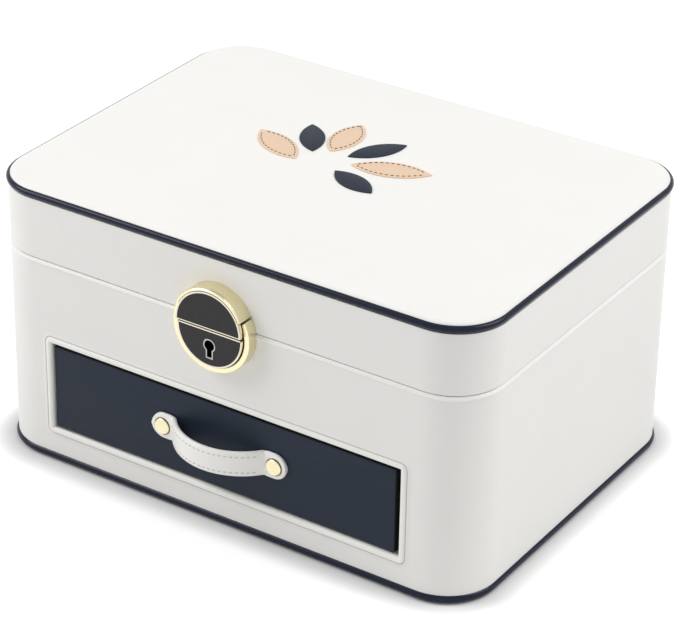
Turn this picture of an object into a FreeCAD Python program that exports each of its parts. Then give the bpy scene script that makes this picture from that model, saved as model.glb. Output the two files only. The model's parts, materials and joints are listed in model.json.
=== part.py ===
import FreeCAD, Part
import math
import os
import re

import Sketcher

# A leather-covered jewellery box with a hinged lid, a mirror inside it, a push-button lock and one
# drawer. Millimetres, +X to the right as seen from the front, the front faces -Y, +Z up. The
# origin is the middle of the plan on the underside.

# Driving sizes. An inset or a side is measured from the case's own outside, a drop from the edge
# above, and an overshoot is how far a cutting shape reaches past what it cuts.
SIZES = {
    "case_width": 258.0,
    "case_depth": 189.6,
    "corner_radius": 25.0,
    "leather": 0.8,
    "wall_board": 5.0,
    "edge_round": 1.0,
    "piping_diameter": 3.6,
    "piping_inset": 0.8,
    "piping_lift": 0.2,
    "piping_play": 0.05,
    "case_rim_height": 103.7,
    "seam_gap": 0.5,
    "lid_height": 34.5,
    "top_piping_drop": 2.85,
    "top_round": 2.2,
    "top_board": 2.4,
    "base_felt": 1.2,
    "velvet": 1.5,
    "opening_side_left": 35.0,
    "opening_side_right": 34.0,
    "opening_bottom": 18.0,
    "opening_height": 44.7,
    "trim_width": 3.8,
    "trim_proud": 0.9,
    "trim_round": 0.72,
    "trim_sleeve": 1.2,
    "trim_corner": 3.0,
    "bay_board": 3.0,
    "drawer_recess": 0.5,
    "drawer_gap_left": 0.8,
    "drawer_gap_right": 2.0,
    "drawer_gap_top": 1.1,
    "drawer_gap_bottom": 0.6,
    "drawer_play": 0.3,
    "drawer_board": 3.0,
    "drawer_floor": 2.0,
    "drawer_side_inset": 0.4,
    "drawer_side_drop": 5.0,
    "front_board": 5.0,
    "front_round": 0.9,
    "lining_drop": 1.0,
    "bumper_radius": 5.0,
    "bumper_thickness": 2.0,
    "bumper_side": 39.5,
    "drawer_divider_place": 6.0,
    "drawer_cross_place": 34.0,
    "divider": 3.0,
    "divider_drop": 4.0,
    "fit": 0.1,
    "overshoot": 1.0,
    "batten": 8.0,
    "lock_space": 11.6,
    "ledge": 1.6,
    "ledge_drop": 1.2,
    "roll_bay_width": 78.0,
    "roll_count": 8.0,
    "roll_play": 0.4,
    "roll_drop": 9.7,
    "left_bay_width": 76.0,
    "left_cross_place": 4.0,
    "lid_ceiling_drop": 12.7,
    "lid_ceiling_board": 2.0,
    "lid_lining_drop": 2.4,
    "mirror_side": 31.0,
    "mirror_end": 30.8,
    "mirror_glass": 2.0,
    "mirror_corner": 6.0,
    "frame_face": 9.0,
    "frame_depth": 3.6,
    "frame_lap": 2.0,
    "frame_round": 1.6,
    "hinge_inset": 1.3,
    "hinge_side": 54.0,
    "hinge_length": 28.0,
    "hinge_barrel": 1.5,
    "hinge_pin": 0.6,
    "hinge_leaf": 1.0,
    "hinge_air": 0.15,
    "hinge_screw": 0.6,
    "hinge_screw_head": 1.15,
    "hinge_screw_inset": 1.45,
    "hinge_screw_length": 8.0,
    "hinge_screw_sink": 0.3,
    "bevel_angle": 50.0,
    "bevel_depth": 7.8,
    "lock_drop": 1.7,
    "lock_radius": 20.2,
    "lock_wall": 2.6,
    "lock_proud": 6.0,
    "lock_base": 1.4,
    "ear_angle": 28.0,
    "cap_rise": 1.0,
    "cap_radius": 18.75,
    "cap_proud": 8.3,
    "cap_plate": 1.9,
    "cap_core": 27.0,
    "plate_radius": 17.2,
    "plate_drop": 0.9,
    "plate_proud": 7.0,
    "plate_thickness": 2.4,
    "inlay_radius": 16.4,
    "inlay_depth": 0.5,
    "inlay_edge": 0.6,
    "key_centre_drop": 6.6,
    "key_hole": 2.6,
    "key_slot": 2.6,
    "key_drop": 5.9,
    "key_rim": 0.75,
    "key_rim_proud": 0.15,
    "key_blade": 1.2,
    "key_blade_height": 5.4,
    "key_depth": 5.0,
    "barrel_radius": 4.6,
    "cylinder_radius": 3.4,
    "spring_wall": 0.8,
    "spring_air": 0.35,
    "spring_width": 2.0,
    "spring_folds": 3.0,
    "lock_box_width": 36.0,
    "lock_box_depth": 9.8,
    "lock_box_wall": 0.8,
    "striker_width": 15.0,
    "striker_height": 14.0,
    "striker": 1.2,
    "striker_gap": 2.4,
    "striker_foot": 1.0,
    "striker_edge": 3.0,
    "striker_lift": 1.2,
    "striker_play": 1.0,
    "striker_clear": 0.5,
    "striker_screw_rise": 8.4,
    "screw_bite": 3.4,
    "screw_head_height": 0.8,
    "barrel_reach": 3.9,
    "cam_reach": 7.4,
    "cam_nose": 0.9,
    "cam_thickness": 1.0,
    "cam_air": 0.6,
    "cam_hub_rim": 0.6,
    "fin_rise": 1.0,
    "strap_reach": 31.0,
    "strap_width": 13.0,
    "strap_thickness": 2.6,
    "strap_bow": 12.0,
    "strap_rise": 25.4,
    "strap_bend": 2.2,
    "strap_lift": 0.9,
    "rivet_head": 3.9,
    "rivet_head_height": 0.9,
    "rivet_shank": 1.6,
    "washer_radius": 4.5,
    "washer_thickness": 0.8,
    "motif_leather": 0.7,
    "motif_centre": -11.0,
    "motif_back": 8.0,
    "leaf_length": 38.0,
    "leaf_width": 15.0,
}

# The applied leaves: material, foot in x and y from the design's middle, angle, length and width;
# feet and lengths are shares of leaf_length, widths of leaf_width
LEAVES = (
    ("light", -0.32, -0.27, 152.0, 0.91, 1.0),
    ("light", -0.09, 0.14, 96.0, 0.84, 1.0),
    ("light", 0.31, -0.02, 18.0, 1.0, 1.0),
    ("dark", -0.27, 0.02, 124.0, 0.75, 0.8),
    ("dark", 0.16, 0.14, 58.0, 0.79, 0.8),
    ("dark", 0.25, -0.27, -20.0, 0.72, 0.8),
)
# How far along a leaf it is widest, as a share of its length
LEAF_BELLY = 0.46

SIZE_WORD = re.compile(r"[a-z][a-z_]+")

doc = FreeCAD.newDocument("jewellery_box")
dims = doc.addObject("Spreadsheet::Sheet", "dims")
for row, (alias, number) in enumerate(SIZES.items(), start=1):
    dims.set("A%d" % row, alias)
    dims.set("B%d" % row, str(number))
    dims.setAlias("B%d" % row, alias)
doc.recompute()


# Places that several pieces share, written in the sheet's words
BACK = "case_depth / 2"
WALL = "(leather + wall_board)"
INNER_BACK = "(case_depth / 2 - leather - wall_board)"
PIPING_RADIUS = "piping_diameter / 2"
PANEL_INSET = "(piping_inset + piping_diameter / 2 + piping_play)"
CASE_BOTTOM = "(piping_lift + piping_diameter + piping_play)"
LID_BOTTOM = "(case_rim_height + seam_gap)"
LID_TOP = "(case_rim_height + seam_gap + lid_height)"
TOP_PIPING = "(case_rim_height + seam_gap + lid_height - top_piping_drop)"
LID_WALL_TOP = "(%s - piping_diameter / 2 - piping_play)" % TOP_PIPING
LID_CEILING = "(case_rim_height + seam_gap + lid_height - lid_ceiling_drop)"
OPENING_LEFT = "(opening_side_left - case_width / 2)"
OPENING_RIGHT = "(case_width / 2 - opening_side_right)"
OPENING_MIDDLE = "((opening_side_left - opening_side_right) / 2)"
OPENING_TOP = "(opening_bottom + opening_height)"
SHELF_TOP = "(opening_bottom + opening_height + bay_board)"
TRAY_FLOOR = "(opening_bottom + opening_height + bay_board + velvet)"
LEDGE_TOP = "(case_rim_height - ledge_drop)"
LEDGE_BOTTOM = "(case_rim_height - ledge_drop - ledge)"
TRAY_WALL_INSET = "(leather + wall_board + velvet)"
TRAY_FRONT = "(-case_depth / 2 + leather + wall_board + lock_space + velvet)"
TRAY_BACK = "(case_depth / 2 - leather - wall_board - velvet)"
TRAY_RIGHT = "(case_width / 2 - leather - wall_board - velvet)"
DRAWER_FACE = "(-case_depth / 2 + drawer_recess)"
DRAWER_FRONT_BACK = "(-case_depth / 2 + drawer_recess + leather + front_board)"
DRAWER_LEFT = "(opening_side_left - case_width / 2 + drawer_gap_left)"
DRAWER_RIGHT = "(case_width / 2 - opening_side_right - drawer_gap_right)"
DRAWER_TOP = "(opening_bottom + opening_height - drawer_gap_top)"
DRAWER_END = "(case_depth / 2 - leather - wall_board - bumper_thickness - drawer_play)"
DRAWER_BASE = "(opening_bottom + drawer_play)"
DRAWER_DECK = "(opening_bottom + drawer_play + drawer_floor)"
DRAWER_SIDE_TOP = "(opening_bottom + opening_height - drawer_gap_top - drawer_side_drop)"
HINGE_Y = "(case_depth / 2 - hinge_inset)"
HINGE_Z = "(case_rim_height + seam_gap / 2)"
MIRROR_BACK = "(%s - velvet)" % LID_CEILING
STRAP_CENTRE = "(opening_bottom + opening_height / 2 + strap_lift)"
LOCK_CENTRE = "(case_rim_height - lock_drop)"
CAP_CENTRE = "(case_rim_height + cap_rise)"
PLATE_TOP = "(case_rim_height - plate_drop)"
KEY_CENTRE = "(case_rim_height - lock_drop - key_centre_drop)"

NODES = []


def bound(text):
    """The same sum, with every driving size read from the sheet."""
    def read(word):
        return "dims." + word.group() if word.group() in SIZES else word.group()
    return SIZE_WORD.sub(read, str(text))


def size(alias):
    """One driving size as a number, as the sheet holds it."""
    return float(dims.get(alias))


def bind(thing, **sums):
    for path, text in sums.items():
        thing.setExpression(path, bound(text))


def place(thing, x="0", y="0", z="0"):
    for letter, text in zip("xyz", (x, y, z)):
        thing.setExpression("Placement.Base." + letter, bound(text))


def node(label, thing):
    """Name a finished sub-part and put it on the list of sub-parts."""
    thing.Label = label
    NODES.append(thing)
    return thing


# Building blocks
def block(name, x, y, z):
    """A box between two places on each axis."""
    thing = doc.addObject("Part::Box", name)
    bind(thing, Length="(%s) - (%s)" % (x[1], x[0]))
    bind(thing, Width="(%s) - (%s)" % (y[1], y[0]))
    bind(thing, Height="(%s) - (%s)" % (z[1], z[0]))
    place(thing, x[0], y[0], z[0])
    return thing


TURNS = {
    "x": FreeCAD.Rotation(FreeCAD.Vector(0, 1, 0), 90),
    "y": FreeCAD.Rotation(FreeCAD.Vector(1, 0, 0), -90),
    "z": FreeCAD.Rotation(),
}


def rod(name, along, radius, length, x, y, z):
    """A cylinder that starts at a place and runs along +X, +Y or +Z."""
    thing = doc.addObject("Part::Cylinder", name)
    thing.Placement = FreeCAD.Placement(FreeCAD.Vector(), TURNS[along])
    bind(thing, Radius=radius, Height=length)
    place(thing, x, y, z)
    return thing


def fuse(name, *pieces):
    thing = doc.addObject("Part::MultiFuse", name)
    thing.Shapes = list(pieces)
    thing.Refine = True
    return thing


def cut(name, base, *tools):
    thing = doc.addObject("Part::Cut", name)
    thing.Base = base
    thing.Tool = tools[0] if len(tools) == 1 else fuse(name + "_tools", *tools)
    return thing


def group(name, *pieces):
    """Several separate solids that share one node."""
    thing = doc.addObject("Part::Compound", name)
    thing.Links = list(pieces)
    return thing


def origin_plane(body, role):
    return [item for item in body.Origin.OriginFeatures if item.Role == role][0]


def sketch_on(body, name, role="XY_Plane", lift="0"):
    sketch = body.newObject("Sketcher::SketchObject", name)
    sketch.AttachmentSupport = (origin_plane(body, role), [""])
    sketch.MapMode = "FlatFace"
    sketch.setExpression("AttachmentOffset.Base.z", bound(lift))
    return sketch


def rounded_outline(sketch, tag, left, right, front, back, radius):
    """A rectangle with four equal round corners, its sides at signed places from the origin."""
    vector = FreeCAD.Vector
    rule = Sketcher.Constraint
    west, east, south, north, bend = [number_of(text) for text in (left, right, front, back, radius)]
    first = sketch.GeometryCount
    corners = [
        (east - bend, south + bend), (east - bend, north - bend),
        (west + bend, north - bend), (west + bend, south + bend),
    ]
    sides = [
        ((west + bend, south), (east - bend, south)),
        ((east, south + bend), (east, north - bend)),
        ((east - bend, north), (west + bend, north)),
        ((west, north - bend), (west, south + bend)),
    ]
    sketch.addGeometry([Part.LineSegment(vector(*start, 0), vector(*end, 0)) for start, end in sides], False)
    for turn, corner in enumerate(corners):
        circle = Part.Circle(vector(*corner, 0), vector(0, 0, 1), bend)
        start = math.radians(90 * turn - 90)
        sketch.addGeometry(Part.ArcOfCircle(circle, start, start + math.pi / 2), False)
    rules = []
    for turn in range(4):
        rules.append(rule("Tangent", first + turn, 2, first + 4 + turn, 1))
        rules.append(rule("Tangent", first + 4 + turn, 2, first + (turn + 1) % 4, 1))
        rules.append(rule("Vertical" if turn % 2 else "Horizontal", first + turn))
    rules += [rule("Equal", first + 4, first + 4 + turn) for turn in range(1, 4)]
    sketch.addConstraint(rules)
    bind_measures(sketch, [
        (tag + "left", rule("DistanceX", first + 3, 1, -1, 1, -west), "-(%s)" % left),
        (tag + "right", rule("DistanceX", -1, 1, first + 1, 1, east), right),
        (tag + "front", rule("DistanceY", first, 1, -1, 1, -south), "-(%s)" % front),
        (tag + "back", rule("DistanceY", -1, 1, first + 2, 1, north), back),
        (tag + "radius", rule("Radius", first + 4, bend), radius),
    ])


def bind_measures(sketch, measures):
    """Add named measures to a sketch, each with the sum of driving sizes that it follows."""
    for word, constraint, text in measures:
        number = sketch.addConstraint(constraint)
        sketch.renameConstraint(number, word)
        sketch.setExpression("Constraints." + word, bound(text))


def plan_outline(sketch, tag, inset, front_inset="0"):
    """The case's plan, drawn in by an inset, and drawn in further at the front."""
    rounded_outline(
        sketch, tag,
        "-(case_width / 2 - (%s))" % inset,
        "case_width / 2 - (%s)" % inset,
        "-(case_depth / 2 - (%s) - (%s))" % (inset, front_inset),
        "case_depth / 2 - (%s)" % inset,
        "corner_radius - (%s)" % inset,
    )


def pad(body, name, sketch, length):
    feature = body.newObject("PartDesign::Pad", name)
    feature.Profile = sketch
    feature.setExpression("Length", bound(length))
    return feature


def new_body(name):
    return doc.addObject("PartDesign::Body", name)


def slab(body, name, inset, bottom, top, hollow=None, front="0"):
    """A level layer of the case's plan, solid or as a ring with its inside drawn in further."""
    sketch = sketch_on(body, name + "_plan", lift=bottom)
    plan_outline(sketch, "outer_", inset, front)
    if hollow is not None:
        plan_outline(sketch, "inner_", hollow, front)
    return pad(body, name, sketch, "(%s) - (%s)" % (top, bottom))


def round_edges(body, name, feature, radius, wanted):
    """A fillet on the edges whose box the test accepts."""
    doc.recompute()
    names = []
    for number, edge in enumerate(feature.Shape.Edges, start=1):
        if wanted(edge.BoundBox):
            names.append("Edge%d" % number)
    fillet = body.newObject("PartDesign::Fillet", name)
    fillet.Base = (feature, names)
    fillet.setExpression("Radius", bound(radius))
    return fillet


def number_of(text):
    """The value of a sum of driving sizes, for choosing edges and placing curves."""
    return float(dims.evalExpression(bound(text)))


def level_outer(height, inset):
    """A test for the edges at one height that lie on the plan drawn in by an inset."""
    level = number_of(height)
    half_width = number_of("case_width / 2 - (%s)" % inset)
    half_depth = number_of("case_depth / 2 - (%s)" % inset)
    bend = number_of("corner_radius - (%s)" % inset)

    def test(box):
        if abs(box.ZMin - level) > 0.01 or abs(box.ZMax - level) > 0.01:
            return False
        reach_x = max(abs(box.XMin), abs(box.XMax))
        reach_y = max(abs(box.YMin), abs(box.YMax))
        on_side = abs(reach_x - half_width) < 0.01 or abs(reach_y - half_depth) < 0.01
        return on_side and reach_x > half_width - bend - 0.01 and reach_y > half_depth - bend - 0.01
    return test


# Base: felt sheet, base board and the piping round the bottom edge
def base_felt():
    body = new_body("base_felt_body")
    slab(body, "base_felt_pad", PANEL_INSET, "0", "base_felt")
    node("base_felt", body)


def base_board():
    body = new_body("base_board_body")
    slab(body, "base_board_pad", PANEL_INSET, "base_felt", CASE_BOTTOM)
    node("base_board", body)


def piping(label, height):
    """A cord of leather that runs once round the plan, swept along its own centre line."""
    body = new_body(label + "_body")
    path = sketch_on(body, label + "_path", lift=height)
    plan_outline(path, "path_", "piping_inset")
    section = sketch_on(body, label + "_section", role="YZ_Plane")
    across = number_of("case_depth / 2 - piping_inset")
    above = number_of(height)
    thick = number_of(PIPING_RADIUS)
    middle = FreeCAD.Vector(-across, above, 0)
    section.addGeometry(Part.Circle(middle, FreeCAD.Vector(0, 0, 1), thick), False)
    bind_measures(section, [
        ("across", Sketcher.Constraint("DistanceX", 0, 3, -1, 1, across), "case_depth / 2 - piping_inset"),
        ("above", Sketcher.Constraint("DistanceY", -1, 1, 0, 3, above), height),
        ("thick", Sketcher.Constraint("Radius", 0, thick), PIPING_RADIUS),
    ])
    sweep = body.newObject("PartDesign::AdditivePipe", label + "_sweep")
    sweep.Profile = section
    sweep.Spine = path
    node(label, body)


# Case walls
def bevel_tool(name, lid):
    """The wedge that opens the seam at the back, so that the lid can lean back to its stop."""
    thing = doc.addObject("Part::Box", name)
    thing.Placement = FreeCAD.Placement(FreeCAD.Vector(), FreeCAD.Rotation(FreeCAD.Vector(1, 0, 0), 1))
    bind(thing, Length="case_width + 2 * overshoot", Width="bevel_depth", Height="bevel_depth")
    if lid:
        thing.setExpression("Placement.Rotation.Angle", bound("bevel_angle - 90"))
        place(thing, "-case_width / 2 - overshoot", HINGE_Y, LID_BOTTOM)
    else:
        thing.setExpression("Placement.Rotation.Angle", bound("-bevel_angle"))
        place(thing, "-case_width / 2 - overshoot", HINGE_Y, "case_rim_height")
    return thing


def hinge_middle(side):
    return "%d * (case_width / 2 - hinge_side)" % side


def mortises(name):
    """The pockets that both rims have for the two hinges: for the leaves, and for the barrel."""
    tools = []
    for side in (-1, 1):
        middle = hinge_middle(side)
        span = ("%s - hinge_length / 2 - fit" % middle, "%s + hinge_length / 2 + fit" % middle)
        leaf = block(
            "%s_leaf_pocket_%d" % (name, side + 1), span,
            (INNER_BACK + " - overshoot", HINGE_Y),
            (HINGE_Z + " - hinge_leaf - hinge_air", HINGE_Z + " + hinge_leaf + hinge_air"),
        )
        barrel = block(
            "%s_barrel_pocket_%d" % (name, side + 1), span,
            (HINGE_Y + " - hinge_barrel - hinge_air", BACK + " + overshoot"),
            (HINGE_Z + " - hinge_barrel - hinge_air", HINGE_Z + " + hinge_barrel + hinge_air"),
        )
        tools += [leaf, barrel]
    return tools


def hinge_screw_places():
    """The x of each hinge screw, on both hinges."""
    places = []
    for side in (-1, 1):
        for step in (-1, 0, 1):
            places.append("%s + %d * hinge_length / 3" % (hinge_middle(side), step))
    return places


SCREW_Y = "(case_depth / 2 - leather - wall_board + hinge_screw_inset)"


def screw_holes(name, bottom, top, radius):
    holes = []
    for number, x in enumerate(hinge_screw_places()):
        length = "(%s) - (%s)" % (top, bottom)
        holes.append(rod("%s_%d" % (name, number), "z", radius, length, x, SCREW_Y, bottom))
    return holes


def opening_tool(name, grow):
    """The drawer's way through the front wall, larger all round by the trim's sleeve."""
    return block(
        name,
        (OPENING_LEFT + " - (%s)" % grow, OPENING_RIGHT + " + (%s)" % grow),
        ("-" + BACK + " - trim_proud - overshoot", "-" + INNER_BACK + " + overshoot"),
        ("opening_bottom - (%s)" % grow, OPENING_TOP + " + (%s)" % grow),
    )


def lock_bore(name, radius, start, end):
    """A round bore, or the round piece in it, on the key's centre line."""
    return rod(name, "y", radius, "(%s) - (%s)" % (end, start), "0", start, KEY_CENTRE)


def barrel_hole(name):
    """The button's way through the front wall."""
    return lock_bore(
        name, "barrel_radius + fit", "-case_depth / 2 - overshoot", "-" + INNER_BACK + " + overshoot")


def case_cover():
    """The leather of the case: a skin round the walls with its top edge turned in over the rim."""
    body = new_body("case_cover_body")
    slab(body, "case_cover_skin", "0", CASE_BOTTOM, "case_rim_height", hollow="leather")
    lip = slab(body, "case_cover_rim", "0", "case_rim_height - leather", "case_rim_height", hollow=WALL)
    body.Tip = round_edges(body, "case_cover_round", lip, "edge_round", level_outer("case_rim_height", "0"))
    tools = [opening_tool("case_cover_opening", "trim_sleeve"), bevel_tool("case_cover_bevel", lid=False)]
    tools += mortises("case_cover")
    tools.append(barrel_hole("case_cover_lock_bore"))
    node("case_cover", cut("case_cover_cut", body, *tools))


def case_board():
    body = new_body("case_board_body")
    slab(body, "case_board_ring", "leather", CASE_BOTTOM, "case_rim_height - leather", hollow=WALL)
    tools = [opening_tool("case_board_opening", "trim_sleeve"), bevel_tool("case_board_bevel", lid=False)]
    tools += mortises("case_board")
    tools.append(barrel_hole("case_board_lock_bore"))
    tools += screw_holes(
        "case_board_screw_hole", HINGE_Z + " - hinge_screw_length - hinge_leaf", HINGE_Z,
        "hinge_screw + fit / 4")
    node("case_board", cut("case_board_cut", body, *tools))


def opening_trim():
    """The bound leather frame round the drawer's opening: a raised face, and a sleeve through the wall."""
    body = new_body("opening_trim_body")
    face = sketch_on(body, "opening_trim_face_sketch", role="XZ_Plane", lift=BACK)
    rounded_outline(
        face, "outer_", OPENING_LEFT + " - trim_width", OPENING_RIGHT + " + trim_width",
        "opening_bottom - trim_width", OPENING_TOP + " + trim_width", "trim_corner",
    )
    first = pad(body, "opening_trim_face", face, "trim_proud")
    outer = face_edges("-case_depth / 2 - trim_proud")
    body.Tip = round_edges(body, "opening_trim_round", first, "trim_round", outer)
    sleeve = block(
        "opening_trim_sleeve",
        (OPENING_LEFT + " - trim_sleeve", OPENING_RIGHT + " + trim_sleeve"),
        ("-" + BACK + " - trim_proud / 2", "-" + INNER_BACK),
        ("opening_bottom - trim_sleeve", OPENING_TOP + " + trim_sleeve"),
    )
    whole = fuse("opening_trim_whole", body, sleeve)
    node("opening_trim", cut("opening_trim_cut", whole, opening_tool("opening_trim_hole", "0")))


def face_edges(place_y):
    """A test for the edges that lie in one upright plane that faces the front."""
    level = number_of(place_y)
    return lambda box: abs(box.YMin - level) < 0.01 and abs(box.YMax - level) < 0.01


# Drawer bay
def bay():
    """Battens, floor, two side walls and the shelf that roofs the bay and carries the tray."""
    battens = []
    for number, step in enumerate((-1, 0, 1)):
        middle = "%s + %d * ((%s - %s) / 2 - batten)" % (OPENING_MIDDLE, step, OPENING_RIGHT, OPENING_LEFT)
        battens.append(block(
            "floor_batten_%d" % number,
            (middle + " - batten / 2", middle + " + batten / 2"),
            ("-" + INNER_BACK, INNER_BACK),
            (CASE_BOTTOM, "opening_bottom - bay_board"),
        ))
    node("floor_battens", group("floor_battens_group", *battens))
    node("bay_floor", block(
        "bay_floor_box",
        (OPENING_LEFT + " - bay_board", OPENING_RIGHT + " + bay_board"),
        ("-" + INNER_BACK, INNER_BACK),
        ("opening_bottom - bay_board", "opening_bottom"),
    ))
    for label, x in (
        ("bay_wall_left", (OPENING_LEFT + " - bay_board", OPENING_LEFT)),
        ("bay_wall_right", (OPENING_RIGHT, OPENING_RIGHT + " + bay_board")),
    ):
        node(label, block(label + "_box", x, ("-" + INNER_BACK, INNER_BACK), ("opening_bottom", OPENING_TOP)))
    body = new_body("shelf_body")
    slab(body, "shelf_pad", WALL, OPENING_TOP, SHELF_TOP)
    node("shelf_board", body)
    bumpers = []
    for side in (-1, 1):
        bumpers.append(rod(
            "bumper_%d" % (side + 1), "y", "bumper_radius", "bumper_thickness",
            "%s + %d * ((%s - %s) / 2 - bumper_side)" % (OPENING_MIDDLE, side, OPENING_RIGHT, OPENING_LEFT),
            INNER_BACK + " - bumper_thickness", "opening_bottom + opening_height / 2",
        ))
    node("drawer_bumpers", group("drawer_bumpers_group", *bumpers))


# Top tray
def tray():
    """The velvet tray under the lid: floor and walls, with room for the lock in front of it."""
    body = new_body("tray_lining_body")
    slab(body, "tray_lining_floor", WALL, SHELF_TOP, TRAY_FLOOR, front="lock_space")
    slab(
        body, "tray_lining_walls", WALL, SHELF_TOP, LEDGE_BOTTOM,
        hollow=TRAY_WALL_INSET, front="lock_space")
    node("tray_lining", body)

    ledge = new_body("rim_ledge_body")
    sketch = sketch_on(ledge, "rim_ledge_plan", lift=LEDGE_BOTTOM)
    plan_outline(sketch, "outer_", WALL)
    plan_outline(sketch, "inner_", TRAY_WALL_INSET, "lock_space")
    pad(ledge, "rim_ledge_pad", sketch, "ledge")
    slot = block(
        "rim_ledge_slot",
        ("-striker_width / 2 - striker_play", "striker_width / 2 + striker_play"),
        ("-" + INNER_BACK + " + lock_box_wall", "-" + INNER_BACK + " + lock_box_depth - lock_box_wall"),
        (LEDGE_BOTTOM + " - overshoot", LEDGE_TOP + " + overshoot"),
    )
    node("rim_ledge", cut("rim_ledge_cut", ledge, slot))

    top = LEDGE_BOTTOM + " - divider_drop"
    right_wall = TRAY_RIGHT + " - roll_bay_width"
    left_wall = "-" + TRAY_RIGHT + " + left_bay_width"
    node("tray_divider_right", block(
        "tray_divider_right_box", (right_wall + " - divider", right_wall),
        (TRAY_FRONT + " + fit", TRAY_BACK + " - fit"), (TRAY_FLOOR, top)))
    node("tray_divider_left", block(
        "tray_divider_left_box", (left_wall, left_wall + " + divider"),
        (TRAY_FRONT + " + fit", TRAY_BACK + " - fit"), (TRAY_FLOOR, top)))
    node("tray_divider_cross", block(
        "tray_divider_cross_box", ("-" + TRAY_RIGHT + " + fit", left_wall),
        ("left_cross_place - divider / 2", "left_cross_place + divider / 2"), (TRAY_FLOOR, top)))


def ring_rolls():
    """Soft rolls side by side: rings are pushed down between them."""
    count = int(round(size("roll_count")))
    front = number_of(TRAY_FRONT)
    pitch = (number_of(TRAY_BACK) - front) / count
    half = (pitch - size("roll_play")) / 2
    left = number_of(TRAY_RIGHT + " - roll_bay_width") + size("roll_play")
    right = number_of(TRAY_RIGHT) - size("roll_play")
    floor = number_of(TRAY_FLOOR)
    top = number_of(LEDGE_BOTTOM + " - roll_drop")
    flank = top - half
    rolls = []
    for number in range(count):
        middle = front + pitch * (number + 0.5)
        low_front = FreeCAD.Vector(left, middle - half, floor)
        high_front = FreeCAD.Vector(left, middle - half, flank)
        crown = FreeCAD.Vector(left, middle, top)
        high_back = FreeCAD.Vector(left, middle + half, flank)
        low_back = FreeCAD.Vector(left, middle + half, floor)
        outline = Part.Wire([
            Part.LineSegment(low_front, high_front).toShape(),
            Part.Arc(high_front, crown, high_back).toShape(),
            Part.LineSegment(high_back, low_back).toShape(),
            Part.LineSegment(low_back, low_front).toShape(),
        ])
        rolls.append(Part.Face(outline).extrude(FreeCAD.Vector(right - left, 0, 0)))
    tray_corner = number_of("corner_radius - " + TRAY_WALL_INSET)
    inside = rounded_prism(
        number_of(TRAY_RIGHT) - size("roll_play"), front + size("roll_play"),
        number_of(TRAY_BACK) - size("roll_play"), tray_corner, floor, top)
    thing = doc.addObject("Part::Feature", "ring_rolls_shape")
    thing.Shape = Part.Compound([roll.common(inside) for roll in rolls])
    node("ring_rolls", thing)


def rounded_prism(half_width, front, back, radius, low, high):
    """An upright solid with round corners, as wide to the left as to the right."""
    box = Part.makeBox(2 * half_width, back - front, high - low, FreeCAD.Vector(-half_width, front, low))
    upright = [edge for edge in box.Edges if edge.BoundBox.ZLength > 0.5 * (high - low)]
    return box.makeFillet(radius, upright)


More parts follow.
